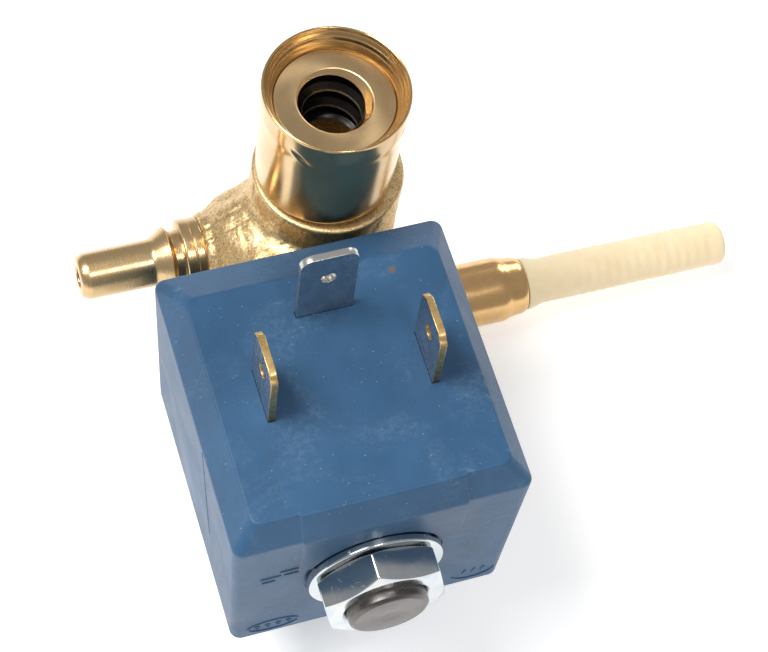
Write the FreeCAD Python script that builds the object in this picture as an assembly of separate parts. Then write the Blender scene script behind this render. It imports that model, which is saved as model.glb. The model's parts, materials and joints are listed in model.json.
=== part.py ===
import FreeCAD, Part
import math
import os

# Steam solenoid valve with a flow regulator. Millimetres.
# Origin: centre of the boiler port where its thread starts. +Z runs out of the boiler port,
# +X along the regulator spindle, and -Y from the port to the coil nut.

# ---- driving dimensions ------------------------------------------------------------------
# Boiler port: a female M8 thread in a disc, held in a machined collar
THREAD_MINOR_R = 3.323
COUNTERSINK_R = 4.2
DISC_TOP = COUNTERSINK_R - THREAD_MINOR_R   # 45 degree countersink above the thread
RECESS_DEPTH = 2.35
RIM_TOP = DISC_TOP + RECESS_DEPTH
INSERT_BOTTOM = -8.0
GASKET_THICKNESS = 0.6
RIM_R = 8.1
RIM_BORE_R = 7.85
RIM_CHAMFER = 0.1
RIM_BEVEL_R = 7.5                           # foot of the bevel inside the rim
RIM_BEVEL_DEPTH = 0.7
RIM_BAND = 2.8                              # height of the wider band below the rim
COLLAR_R = 7.95
COLLAR_FOOT_R = 7.75
COLLAR_BORE_R = 6.65
COLLAR_BOTTOM = -12.6
PORT_CAVITY_R = 4.5
PORT_CAVITY_BOTTOM = -14.0
PRESS_GAP = 0.02                            # drawn gap of every press fit

# Plunger axis: parallel to Y
PLUNGER_X = -5.8
PLUNGER_Z = -24.2

# Coil block, measured from the plunger axis before it is turned
COIL_TURN_DEG = -1.8                        # how the coil is clamped on its tube
COIL_WIDTH = 32.6
COIL_REAR = -9.15
COIL_DEPTH = 33.45
COIL_FRONT = COIL_REAR - COIL_DEPTH
COIL_TOP = 14.45
COIL_BOTTOM = -14.45
SHOULDER_DROP = 3.36
SIDE_BEVEL = 2.27
FRONT_BEVEL = 1.72
REAR_BEVEL = 4.81
DRAFT = 0.6
COIL_CORNER_R = 1.2
COIL_MIDDLE_X = PLUNGER_X + 0.5             # the moulding sits off the middle of its bore
FRONT_PAD_HALF = 9.0
FRONT_PAD_RISE = 0.25
FRONT_PAD_HEIGHT = 8.0
WASHER_RECESS_R = 7.8
WASHER_RECESS_DEPTH = 0.4

# Blade terminals, 6.3 x 0.8, line contacts 17.9 apart
TAB_WIDTH = 6.3
TAB_THICKNESS = 0.8
LINE_TAB_HEIGHT = 9.4
EARTH_TAB_HEIGHT = 11.5
LINE_TAB_CHAMFER = 1.1
EARTH_TAB_ROUND = 1.4
TAB_HOLE_R = 0.85
LINE_HOLE_FROM_TIP = 3.6
EARTH_HOLE_FROM_TIP = 4.2
LINE_TAB_Y = COIL_FRONT + 15.7
LINE_TAB_HALF_SPACING = 8.95
EARTH_TAB_Y = COIL_FRONT + 24.0
LINE_TAB_ROOT = 10.2

# Magnet circuit
YOKE_HALF_X = 7.9
YOKE_HALF_Z = 12.6
YOKE_THICKNESS = 2.0
YOKE_FRONT = COIL_FRONT + 2.4
YOKE_REAR = COIL_REAR - 2.4
BUSH_R = 6.4
BUSH_LENGTH = 7.5
BOBBIN_WALL = 0.8
FLANGE_R = 10.5
FLANGE_THICKNESS = 1.2
WINDING_R = 10.2
LEAD_R = 0.25

# Armature tube, core and plunger
TUBE_R = 5.0
TUBE_BORE_R = 4.6
COIL_FIT = 0.10
TUBE_FRONT = -39.0
TUBE_FLANGE_R = 5.9
TUBE_FLANGE_FRONT = -7.0
TUBE_FLANGE_REAR = -6.0
CORE_FACE = -23.9
SHADING_RING_R = 4.0
SHADING_RING_BORE_R = 3.3
STUD_R = 4.45
STUD_START = -40.0
STUD_END = COIL_FRONT - 6.1
PLUNGER_R = 4.5
PLUNGER_STROKE = 1.8
PLUNGER_GAP = 0.1                           # air gap left at the end of the stroke
PLUNGER_FRONT = CORE_FACE + PLUNGER_STROKE + PLUNGER_GAP
PLUNGER_GROOVE_HALF = 0.6                   # steam grooves along both sides
SEAL_R = 3.0
SEAL_FACE = -5.25
SEAL_LENGTH = 2.9
PLUNGER_NOSE = -5.9
SPRING_POCKET_R = 2.7
SPRING_POCKET_DEPTH = 7.0
CORE_POCKET_DEPTH = 0.8
SPRING_R = 2.32
SPRING_SLEEVE_WALL = 0.13
SPRING_END_GAP = 0.05

# Nut and washer of the coil
NUT_ACROSS_FLATS = 12.8
NUT_THICKNESS = 3.8
NUT_CHAMFER_DEG = 30
NUT_TURN_DEG = 12                           # where the tightened nut came to rest
NUT_BORE_R = 4.5
WASHER_R = 7.55
WASHER_BORE_R = 4.7
WASHER_THICKNESS = 1.4
WASHER_REAR = COIL_FRONT + WASHER_RECESS_DEPTH - 0.05
NUT_REAR = WASHER_REAR - WASHER_THICKNESS

# Valve chamber in the body
BOSS_R = 7.3
BOSS_REAR = 1.4
BOSS_MOUTH = -9.0
BOSS_FILLET = 1.4
TUBE_SOCKET_R = 6.2
TUBE_SOCKET_FLOOR = -5.4
CHAMBER_R = 4.9
CHAMBER_FLOOR = -3.4
SEAT_LIP = -5.2
ORIFICE_R = 1.1
NOZZLE_SPIGOT_R = 2.3
NOZZLE_REAR = -1.9

# Outlet barb: parallel to X, in the valve's -X side
BARB_Y = -0.4
BARB_Z = PLUNGER_Z - 1.0
BARB_R = 2.68
BARB_BORE_R = 1.3
BARB_TIP = -28.05
BARB_TIP_BEVEL = 0.75
BARB_CREST_R = 3.86
BARB_COLLAR_R = 4.25
BARB_GROOVE_R = 3.14
BARB_SEAT_X = -13.6
BARB_COLLAR_END = BARB_SEAT_X - 2.5
BARB_GROOVE_END = BARB_COLLAR_END - 1.0
BARB_CREST_X = BARB_GROOVE_END - 0.5
BARB_CONE_END = BARB_CREST_X - 1.85
BARB_SHANK_R = 2.6
BARB_DOME_R = 6.8
BARB_SHANK_END = -9.0

# Neck and leg of the forging
NECK_R = 8.55
NECK_X = 0.5
NECK_BOTTOM = PLUNGER_Z + 2.5
NECK_TAPER = 7.0
LEG_X = 0.6
LEG_Y = -2.2
LEG_R = 6.3

# Regulator: parallel to X, below the coil
REG_Y = -2.5
REG_Z = PLUNGER_Z - 22.1
REG_BLOCK_R = 6.0
REG_BLOCK_LEFT = -7.5
REG_BLOCK_RIGHT = 10.5
REG_BLOCK_FILLET = 1.2
SEAT_PLUG_INNER_END = -4.8
REG_THREAD_R = 3.6
REG_CHAMBER_R = 3.0
REG_SEAT_X = 1.0
REG_SEAT_R = 1.2
REG_POCKET_R = 2.4
GLAND_R = 4.1
GLAND_SHOULDER = 26.0
GLAND_NOSE = 28.4
GLAND_NOSE_R = 3.6
GLAND_HEX_AF = 10.4
GLAND_HEX_LENGTH = 3.0
SPINDLE_R = 2.85
SPINDLE_TIP = 55.7
SPINDLE_INNER_END = 14.5
SPINDLE_FLARE_R = 3.3
SPINDLE_RIBS_FROM = 35.0
SPINDLE_RIBS_TO = 53.0
SPINDLE_RIB_PITCH = 1.35
SPINDLE_RIB_DEPTH = 0.07
SPINDLE_TIP_ROUND = 0.9
SOCKET_END = 24.5
RUNNING_GAP = 0.07
NEEDLE_TIP = -0.3
NEEDLE_R = 1.8
NEEDLE_END = 11.4
NEEDLE_DRIVE_END = 20.5
GLAND_START = 6.0
CLIP_ROOM_START = 13.9
CLIP_ROOM_END = 17.0
CLIP_ROOM_R = 3.4
CLIP_X = 16.2
CLIP_THICKNESS = 0.6
CLIP_GROOVE_R = 2.3
O_RING_X = 21.0
O_RING_R = 2.5
O_RING_SECTION_R = 0.38
NEEDLE_THREAD_R = 2.42
NEEDLE_SQUARE = 2.3
SOCKET_SQUARE = 2.46

# Steam passages drilled in the body
INLET_R = 1.5
INLET_X = 3.9
RISER_R = 1.0
RISER_X = -2.6
RISER_Y = -4.4
RISER_PLUG_R = 1.7
RISER_PLUG_TOP = REG_Z - REG_BLOCK_R + 2.2

X_AXIS = FreeCAD.Vector(1, 0, 0)
Y_AXIS = FreeCAD.Vector(0, 1, 0)
Z_AXIS = FreeCAD.Vector(0, 0, 1)


# ---- helpers -----------------------------------------------------------------------------
def vec(x, y, z):
    return FreeCAD.Vector(x, y, z)


def cyl_x(radius, x0, x1, y, z):
    return Part.makeCylinder(radius, x1 - x0, vec(x0, y, z), X_AXIS)


def cyl_y(radius, y0, y1, x=PLUNGER_X, z=PLUNGER_Z):
    return Part.makeCylinder(radius, y1 - y0, vec(x, y0, z), Y_AXIS)


def cyl_z(radius, z0, z1, x=0.0, y=0.0):
    return Part.makeCylinder(radius, z1 - z0, vec(x, y, z0), Z_AXIS)


def ring_y(outer, inner, y0, y1):
    return cyl_y(outer, y0, y1).cut(cyl_y(inner, y0 - 1, y1 + 1))


def block(x0, x1, y0, y1, z0, z1):
    return Part.makeBox(x1 - x0, y1 - y0, z1 - z0, vec(x0, y0, z0))


def turned(points, origin, axis, radial):
    """Solid of revolution from (distance along axis, radius) points."""
    corners = [origin + axis * along + radial * radius for along, radius in points]
    wire = Part.makePolygon(corners + [corners[0]])
    return Part.Face(wire).revolve(origin, axis, 360)


def turned_x(points, y, z):
    return turned(points, vec(0, y, z), X_AXIS, Z_AXIS)


def turned_y(points):
    return turned(points, vec(PLUNGER_X, 0, PLUNGER_Z), Y_AXIS, Z_AXIS)


def hexagon(across_flats, centre, axis, up):
    side = axis.cross(up)
    radius = across_flats / math.sqrt(3)
    angles = [math.radians(60 * i) for i in range(7)]
    points = [centre + up * (radius * math.cos(a)) + side * (radius * math.sin(a)) for a in angles]
    return Part.Face(Part.makePolygon(points))


def on_coil(shape):
    """Turn a piece of the coil, drawn square, to where it is clamped."""
    turned_shape = shape.copy()
    turned_shape.rotate(vec(PLUNGER_X, 0, PLUNGER_Z), Y_AXIS, COIL_TURN_DEG)
    return turned_shape


def coil_box(half_x, y0, y1, z0, z1):
    """Box given from the plunger axis in X and Z."""
    return block(PLUNGER_X - half_x, PLUNGER_X + half_x, y0, y1, PLUNGER_Z + z0, PLUNGER_Z + z1)


# ---- forged body -------------------------------------------------------------------------
def valve_body():
    neck_profile = [
        (COLLAR_BOTTOM, 0),
        (COLLAR_BOTTOM, NECK_R - 0.3),
        (COLLAR_BOTTOM - 0.3, NECK_R),
        (NECK_BOTTOM, NECK_R),
        (NECK_BOTTOM - NECK_TAPER, LEG_R - 0.5),
        (NECK_BOTTOM - NECK_TAPER, 0),
    ]
    neck = turned(neck_profile, vec(NECK_X, 0, 0), Z_AXIS, X_AXIS)
    spigot = cyl_z(COLLAR_BORE_R - PRESS_GAP, COLLAR_BOTTOM - 1, INSERT_BOTTOM - GASKET_THICKNESS)
    boss = cyl_y(BOSS_R, BOSS_MOUTH, BOSS_REAR)
    boss = boss.makeFillet(BOSS_FILLET, [e for e in boss.Edges if abs(e.CenterOfMass.y - BOSS_REAR) < 0.01])
    leg = cyl_z(LEG_R, REG_Z, NECK_BOTTOM, LEG_X, LEG_Y)
    shell = neck.fuse([boss, leg, barb_boss(), regulator_block(), spigot])
    return shell.cut(body_passages())


def barb_boss():
    profile = [
        (BARB_SEAT_X, 0),
        (BARB_SEAT_X, BARB_COLLAR_R + 0.1),
        (BARB_SEAT_X + 0.9, BARB_COLLAR_R + 0.25),
        (BARB_SEAT_X + 1.6, 5.2),
        (BARB_SEAT_X + 2.7, 5.95),
        (BARB_SEAT_X + 4.3, 6.5),
        (BARB_SEAT_X + 5.9, BARB_DOME_R),
        (BARB_SEAT_X + 10.5, BARB_DOME_R),
        (0.0, 5.5),
        (0.0, 0),
    ]
    return turned_x(profile, BARB_Y, BARB_Z)


def regulator_block():
    block_body = cyl_x(REG_BLOCK_R, REG_BLOCK_LEFT, REG_BLOCK_RIGHT, REG_Y, REG_Z)
    return block_body.makeFillet(REG_BLOCK_FILLET, [e for e in block_body.Edges if len(e.Vertexes) == 1])


def body_passages():
    """Everything that is drilled or bored out of the forging."""
    bottom = REG_Z - REG_BLOCK_R - 1
    port_cavity = cyl_z(PORT_CAVITY_R, PORT_CAVITY_BOTTOM, 0)
    inlet = cyl_z(INLET_R, REG_Z, PORT_CAVITY_BOTTOM + 1, INLET_X, 0)
    riser = cyl_z(RISER_R, bottom, PLUNGER_Z - CHAMBER_R + 1, RISER_X, RISER_Y)
    riser_mouth = cyl_z(RISER_PLUG_R, bottom, RISER_PLUG_TOP, RISER_X, RISER_Y)
    socket = cyl_y(TUBE_SOCKET_R, BOSS_MOUTH - 1, TUBE_SOCKET_FLOOR)
    chamber = cyl_y(CHAMBER_R, TUBE_SOCKET_FLOOR - 1, CHAMBER_FLOOR)
    nozzle_seat = cyl_y(NOZZLE_SPIGOT_R, CHAMBER_FLOOR - 1, NOZZLE_REAR)
    orifice_run = cyl_y(ORIFICE_R, NOZZLE_REAR - 1, BARB_Y)
    outlet = cyl_x(BARB_BORE_R, BARB_SEAT_X, PLUNGER_X, BARB_Y, BARB_Z)
    barb_socket = cyl_x(BARB_SHANK_R + PRESS_GAP, BARB_SEAT_X - 1, BARB_SHANK_END, BARB_Y, BARB_Z)
    gland_thread = cyl_x(REG_THREAD_R + PRESS_GAP, GLAND_START, REG_BLOCK_RIGHT + 1, REG_Y, REG_Z)
    needle_chamber = cyl_x(REG_CHAMBER_R, REG_SEAT_X, 7.0, REG_Y, REG_Z)
    seat = cyl_x(REG_SEAT_R, -2.0, REG_SEAT_X + 1, REG_Y, REG_Z)
    pocket = cyl_x(REG_POCKET_R, REG_BLOCK_LEFT - 1, -1.5, REG_Y, REG_Z)
    return [
        port_cavity,
        inlet,
        riser,
        riser_mouth,
        socket,
        chamber,
        nozzle_seat,
        orifice_run,
        outlet,
        barb_socket,
        gland_thread,
        needle_chamber,
        seat,
        pocket,
    ]


def riser_plug():
    return cyl_z(RISER_PLUG_R - PRESS_GAP, REG_Z - REG_BLOCK_R + 0.6, RISER_PLUG_TOP, RISER_X, RISER_Y)


def seat_plug():
    plug = cyl_x(REG_POCKET_R - PRESS_GAP, REG_BLOCK_LEFT + 0.3, SEAT_PLUG_INNER_END, REG_Y, REG_Z)
    slot = block(REG_BLOCK_LEFT, REG_BLOCK_LEFT + 1.1, REG_Y - 0.4, REG_Y + 0.4, REG_Z - 3, REG_Z + 3)
    return plug.cut(slot)


# ---- boiler port -------------------------------------------------------------------------
def port_collar():
    profile = [
        (COLLAR_BOTTOM, COLLAR_BORE_R),
        (COLLAR_BOTTOM, COLLAR_FOOT_R - 0.4),
        (COLLAR_BOTTOM + 0.4, COLLAR_FOOT_R),
        (RIM_TOP - RIM_BAND - 0.4, COLLAR_R),
        (RIM_TOP - RIM_BAND, RIM_R),
        (RIM_TOP - RIM_CHAMFER, RIM_R),
        (RIM_TOP, RIM_R - RIM_CHAMFER),
        (RIM_TOP, RIM_BORE_R),
        (RIM_TOP - RIM_BEVEL_DEPTH, RIM_BEVEL_R),
        (DISC_TOP, COLLAR_BORE_R),
    ]
    return turned(profile, vec(0, 0, 0), Z_AXIS, X_AXIS)


def port_insert():
    disc = cyl_z(COLLAR_BORE_R - PRESS_GAP, INSERT_BOTTOM, DISC_TOP)
    thread_bore = cyl_z(THREAD_MINOR_R, INSERT_BOTTOM - 1, DISC_TOP + 1)
    countersink = Part.makeCone(THREAD_MINOR_R, COUNTERSINK_R, DISC_TOP)
    return disc.cut(thread_bore).cut(countersink)


def port_gasket():
    gasket_bottom = INSERT_BOTTOM - GASKET_THICKNESS
    gasket = cyl_z(COLLAR_BORE_R - PRESS_GAP, gasket_bottom, INSERT_BOTTOM)
    return gasket.cut(cyl_z(PORT_CAVITY_R, gasket_bottom - 1, INSERT_BOTTOM + 1))


# ---- outlet ------------------------------------------------------------------------------
def outlet_barb():
    outer = [
        (BARB_SHANK_END - 0.1, BARB_SHANK_R),
        (BARB_SEAT_X - 0.05, BARB_SHANK_R),
        (BARB_SEAT_X - 0.05, BARB_COLLAR_R - 0.2),
        (BARB_SEAT_X - 0.25, BARB_COLLAR_R),
        (BARB_COLLAR_END + 0.2, BARB_COLLAR_R),
        (BARB_COLLAR_END, BARB_COLLAR_R - 0.2),
        (BARB_COLLAR_END, BARB_GROOVE_R),
        (BARB_GROOVE_END, BARB_GROOVE_R),
        (BARB_CREST_X, BARB_CREST_R),
        (BARB_CONE_END, BARB_R),
        (BARB_TIP + BARB_TIP_BEVEL, BARB_R),
        (BARB_TIP + 0.1, BARB_R - 0.3),
        (BARB_TIP, BARB_R - 0.5),
    ]
    inner = [(BARB_TIP, BARB_BORE_R), (BARB_SHANK_END - 0.1, BARB_BORE_R)]
    return turned_x(outer + inner, BARB_Y, BARB_Z)


def seat_nozzle():
    spigot_r = NOZZLE_SPIGOT_R - PRESS_GAP
    profile = [
        (NOZZLE_REAR, ORIFICE_R),
        (NOZZLE_REAR, spigot_r),
        (CHAMBER_FLOOR, spigot_r),
        (CHAMBER_FLOOR, 3.3),
        (CHAMBER_FLOOR - 0.6, 3.3),
        (CHAMBER_FLOOR - 0.6, 2.2),
        (SEAT_LIP + 0.3, 1.75),
        (SEAT_LIP, 1.55),
        (SEAT_LIP, ORIFICE_R + 0.15),
        (SEAT_LIP + 0.2, ORIFICE_R),
    ]
    return turned_y(profile)


# ---- armature tube, core and plunger -----------------------------------------------------
def armature_tube():
    profile = [
        (TUBE_FLANGE_REAR, TUBE_BORE_R),
        (TUBE_FLANGE_REAR, TUBE_FLANGE_R),
        (TUBE_FLANGE_FRONT, TUBE_FLANGE_R),
        (TUBE_FLANGE_FRONT, TUBE_R),
        (TUBE_FRONT + 0.4, TUBE_R),
        (TUBE_FRONT, TUBE_R - 0.25),
        (TUBE_FRONT, TUBE_BORE_R),
    ]
    return turned_y(profile)


def tube_gasket():
    return ring_y(TUBE_SOCKET_R - 0.05, CHAMBER_R + 0.1, TUBE_FLANGE_REAR, TUBE_SOCKET_FLOOR)


def tube_retainer():
    ring = ring_y(TUBE_SOCKET_R - PRESS_GAP, TUBE_R + PRESS_GAP, BOSS_MOUTH, TUBE_FLANGE_FRONT)
    slot = coil_box(8, BOSS_MOUTH - 1, BOSS_MOUTH + 0.8, -0.7, 0.7)
    return ring.cut(slot)


def fixed_core():
    profile = [
        (CORE_FACE, 0),
        (CORE_FACE, TUBE_BORE_R - PRESS_GAP),
        (STUD_START, TUBE_BORE_R - PRESS_GAP),
        (STUD_START, STUD_R),
        (STUD_END + 0.45, STUD_R),
        (STUD_END, STUD_R - 0.45),
        (STUD_END, 0),
    ]
    core = turned_y(profile)
    spring_pocket = cyl_y(SPRING_POCKET_R, CORE_FACE - CORE_POCKET_DEPTH, CORE_FACE + 1)
    return core.cut(spring_pocket).cut(shading_ring())


def shading_ring():
    return ring_y(SHADING_RING_R, SHADING_RING_BORE_R, CORE_FACE - 1.0, CORE_FACE)


def plunger():
    slug = cyl_y(PLUNGER_R, PLUNGER_FRONT, PLUNGER_NOSE)
    edges = [e for e in slug.Edges if len(e.Vertexes) == 1]
    slug = slug.makeChamfer(0.4, edges)
    seal_pocket = cyl_y(SEAL_R, SEAL_FACE - SEAL_LENGTH, PLUNGER_NOSE + 1)
    spring_pocket = cyl_y(SPRING_POCKET_R, PLUNGER_FRONT - 1, PLUNGER_FRONT + SPRING_POCKET_DEPTH)
    slug = slug.cut(seal_pocket).cut(spring_pocket)
    for side in (-1, 1):
        groove_x = PLUNGER_X + side * PLUNGER_R
        groove = block(
            groove_x - PLUNGER_GROOVE_HALF,
            groove_x + PLUNGER_GROOVE_HALF,
            PLUNGER_FRONT - 1,
            PLUNGER_NOSE + 1,
            PLUNGER_Z - PLUNGER_GROOVE_HALF,
            PLUNGER_Z + PLUNGER_GROOVE_HALF,
        )
        slug = slug.cut(groove)
    return slug


def plunger_seal():
    return cyl_y(SEAL_R - PRESS_GAP, SEAL_FACE - SEAL_LENGTH, SEAL_FACE)


def plunger_spring():
    """Thin sleeve of the spring's outer shape, with the metal of its turns."""
    front = CORE_FACE - CORE_POCKET_DEPTH + SPRING_END_GAP
    rear = PLUNGER_FRONT + SPRING_POCKET_DEPTH - SPRING_END_GAP
    return ring_y(SPRING_R, SPRING_R - SPRING_SLEEVE_WALL, front, rear)


# ---- coil fastening ----------------------------------------------------------------------
def coil_washer():
    washer = ring_y(WASHER_R, WASHER_BORE_R, NUT_REAR, WASHER_REAR)
    rim = [e for e in washer.Edges if e.Length > 2 * math.pi * WASHER_R - 0.1]
    return washer.makeChamfer(0.2, rim)


def coil_nut():
    centre = vec(PLUNGER_X, NUT_REAR, PLUNGER_Z)
    prism = hexagon(NUT_ACROSS_FLATS, centre, Y_AXIS, Z_AXIS).extrude(vec(0, -NUT_THICKNESS, 0))
    corner_r = NUT_ACROSS_FLATS / math.sqrt(3)
    flat_r = NUT_ACROSS_FLATS / 2 - 0.1
    slope = (corner_r - flat_r) * math.tan(math.radians(NUT_CHAMFER_DEG))
    profile = [
        (NUT_REAR, NUT_BORE_R + 0.4),
        (NUT_REAR, flat_r),
        (NUT_REAR - slope, corner_r),
        (NUT_REAR - NUT_THICKNESS + slope, corner_r),
        (NUT_REAR - NUT_THICKNESS, flat_r),
        (NUT_REAR - NUT_THICKNESS, NUT_BORE_R + 0.4),
        (NUT_REAR - NUT_THICKNESS + 0.4, NUT_BORE_R),
        (NUT_REAR - 0.4, NUT_BORE_R),
    ]
    nut = prism.common(turned_y(profile))
    nut.rotate(centre, Y_AXIS, -NUT_TURN_DEG)
    return nut


# ---- coil --------------------------------------------------------------------------------
def rounded_outline(x0, x1, y0, y1, z, radius):
    """Closed rectangle with round corners, anticlockwise from the front left."""
    diagonal = radius * (1 - math.sqrt(0.5))
    corners = [
        (vec(x1 - radius, y0, z), vec(x1 - diagonal, y0 + diagonal, z), vec(x1, y0 + radius, z)),
        (vec(x1, y1 - radius, z), vec(x1 - diagonal, y1 - diagonal, z), vec(x1 - radius, y1, z)),
        (vec(x0 + radius, y1, z), vec(x0 + diagonal, y1 - diagonal, z), vec(x0, y1 - radius, z)),
        (vec(x0, y0 + radius, z), vec(x0 + diagonal, y0 + diagonal, z), vec(x0 + radius, y0, z)),
    ]
    edges = []
    start = corners[-1][2]
    for begin, middle, end in corners:
        edges.append(Part.LineSegment(start, begin).toShape())
        edges.append(Part.Arc(begin, middle, end).toShape())
        start = end
    return Part.Wire(edges)


def coil_outline(side_inset, front_inset, rear_inset, height):
    half = COIL_WIDTH / 2
    return rounded_outline(
        COIL_MIDDLE_X - half + side_inset,
        COIL_MIDDLE_X + half - side_inset,
        COIL_FRONT + front_inset,
        COIL_REAR - rear_inset,
        PLUNGER_Z + height,
        COIL_CORNER_R,
    )


def coil_block():
    """Outside of the moulding: bevelled roof over drafted walls."""
    shoulder = COIL_TOP - SHOULDER_DROP
    base = coil_outline(DRAFT, DRAFT, 0, COIL_BOTTOM)
    waist = coil_outline(0, 0, 0, shoulder)
    roof = coil_outline(SIDE_BEVEL, FRONT_BEVEL, REAR_BEVEL, COIL_TOP)
    return Part.makeLoft([base, waist], True, True).fuse(Part.makeLoft([waist, roof], True, True))


def front_pad():
    """Raised patch across the middle of the front bevel."""
    shoulder = COIL_TOP - SHOULDER_DROP
    bottom = shoulder - FRONT_PAD_HEIGHT
    lean = DRAFT * FRONT_PAD_HEIGHT / (shoulder - COIL_BOTTOM)
    x = COIL_MIDDLE_X - FRONT_PAD_HALF
    front = COIL_FRONT - FRONT_PAD_RISE
    corners = [
        vec(x, front + lean, PLUNGER_Z + bottom),
        vec(x, front, PLUNGER_Z + shoulder),
        vec(x, front + FRONT_BEVEL, PLUNGER_Z + COIL_TOP),
        vec(x, front + FRONT_BEVEL + 2, PLUNGER_Z + COIL_TOP),
        vec(x, front + FRONT_BEVEL + 2, PLUNGER_Z + bottom),
    ]
    face = Part.Face(Part.makePolygon(corners + [corners[0]]))
    return face.extrude(vec(2 * FRONT_PAD_HALF, 0, 0))


def coil_housing():
    case = coil_block().fuse(front_pad())
    recess = cyl_y(WASHER_RECESS_R, COIL_FRONT - 1, COIL_FRONT + WASHER_RECESS_DEPTH)
    bore = cyl_y(TUBE_R + COIL_FIT + 0.25, COIL_FRONT - 1, COIL_REAR + 1)
    magnet_room = coil_box(YOKE_HALF_X, YOKE_FRONT, YOKE_REAR, -YOKE_HALF_Z, YOKE_HALF_Z)
    bobbin_front, bobbin_rear = bobbin_ends()
    winding_room = cyl_y(FLANGE_R, bobbin_front, bobbin_rear)
    case = case.cut(recess.fuse([bore, magnet_room, winding_room]))
    case = on_coil(case.cut(lead_wires(LEAD_R + 0.05)))
    roof = COIL_TOP + 1
    earth_slot = place_earth_tab(blade(YOKE_HALF_Z - 1, roof))
    line_slots = [place_line_tab(blade(LINE_TAB_ROOT, roof), side) for side in (-1, 1)]
    return case.cut([earth_slot] + line_slots)


def bobbin_ends():
    return YOKE_FRONT + YOKE_THICKNESS, YOKE_REAR - YOKE_THICKNESS


def coil_bobbin():
    front, rear = bobbin_ends()
    hub_r = BUSH_R + BOBBIN_WALL
    inner_r = BUSH_R + PRESS_GAP
    profile = [
        (front, inner_r),
        (front, FLANGE_R - 0.02),
        (front + FLANGE_THICKNESS, FLANGE_R - 0.02),
        (front + FLANGE_THICKNESS, hub_r),
        (rear - FLANGE_THICKNESS, hub_r),
        (rear - FLANGE_THICKNESS, FLANGE_R - 0.02),
        (rear, FLANGE_R - 0.02),
        (rear, inner_r),
    ]
    return on_coil(turned_y(profile))


def coil_winding():
    front, rear = bobbin_ends()
    hub_r = BUSH_R + BOBBIN_WALL + PRESS_GAP
    return on_coil(ring_y(WINDING_R, hub_r, front + FLANGE_THICKNESS, rear - FLANGE_THICKNESS))


def yoke_frame():
    outside = coil_box(YOKE_HALF_X - 0.05, YOKE_FRONT, YOKE_REAR, -YOKE_HALF_Z, YOKE_HALF_Z)
    inside = coil_box(
        YOKE_HALF_X + 1,
        YOKE_FRONT + YOKE_THICKNESS,
        YOKE_REAR - YOKE_THICKNESS,
        YOKE_THICKNESS - YOKE_HALF_Z,
        YOKE_HALF_Z - YOKE_THICKNESS,
    )
    holes = cyl_y(BUSH_R + PRESS_GAP, YOKE_FRONT - 1, YOKE_REAR + 1)
    frame = outside.cut(inside).cut(holes)
    return on_coil(frame)


def flux_bushes():
    ends = [(YOKE_FRONT, YOKE_FRONT + BUSH_LENGTH), (YOKE_REAR - BUSH_LENGTH, YOKE_REAR)]
    return on_coil(Part.makeCompound([ring_y(BUSH_R, TUBE_R + COIL_FIT, y0, y1) for y0, y1 in ends]))


def blade(root, tip):
    """Plain blade in the XZ plane, centred on x = 0, with heights from the plunger axis."""
    half = TAB_WIDTH / 2
    return block(-half, half, -TAB_THICKNESS / 2, TAB_THICKNESS / 2, root, tip)


def tip_corners(shape, tip):
    """The two short edges at the top corners of a blade."""
    return [e for e in shape.Edges if abs(e.CenterOfMass.z - tip) < 0.01 and abs(e.CenterOfMass.x) > 3]


def tab_hole(height):
    return Part.makeCylinder(TAB_HOLE_R, 4, vec(0, -2, height), Y_AXIS)


def place_earth_tab(shape):
    shape.translate(vec(COIL_MIDDLE_X, EARTH_TAB_Y, PLUNGER_Z))
    return on_coil(shape)


def place_line_tab(shape, side):
    shape.rotate(vec(0, 0, 0), Z_AXIS, 90)
    shape.translate(vec(COIL_MIDDLE_X + side * LINE_TAB_HALF_SPACING, LINE_TAB_Y, PLUNGER_Z))
    return on_coil(shape)


def earth_tab():
    tip = COIL_TOP + EARTH_TAB_HEIGHT
    tab = blade(YOKE_HALF_Z, tip)
    tab = tab.makeFillet(EARTH_TAB_ROUND, tip_corners(tab, tip))
    return place_earth_tab(tab.cut(tab_hole(tip - EARTH_HOLE_FROM_TIP)))


def line_tab(side):
    tip = COIL_TOP + LINE_TAB_HEIGHT
    tab = blade(LINE_TAB_ROOT, tip)
    tab = tab.makeChamfer(LINE_TAB_CHAMFER, tip_corners(tab, tip))
    return place_line_tab(tab.cut(tab_hole(tip - LINE_HOLE_FROM_TIP)), side)


def lead_wires(radius):
    """Winding ends that rise from the winding to the two line blades."""
    wires = []
    for side in (-1, 1):
        x = COIL_MIDDLE_X + side * LINE_TAB_HALF_SPACING
        foot = math.sqrt(WINDING_R**2 - (x - PLUNGER_X) ** 2) + 0.5
        start = vec(x, LINE_TAB_Y, PLUNGER_Z + foot)
        wires.append(Part.makeCylinder(radius, LINE_TAB_ROOT - foot, start, Z_AXIS))
    return wires


def winding_leads():
    return on_coil(Part.makeCompound(lead_wires(LEAD_R)))


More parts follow.
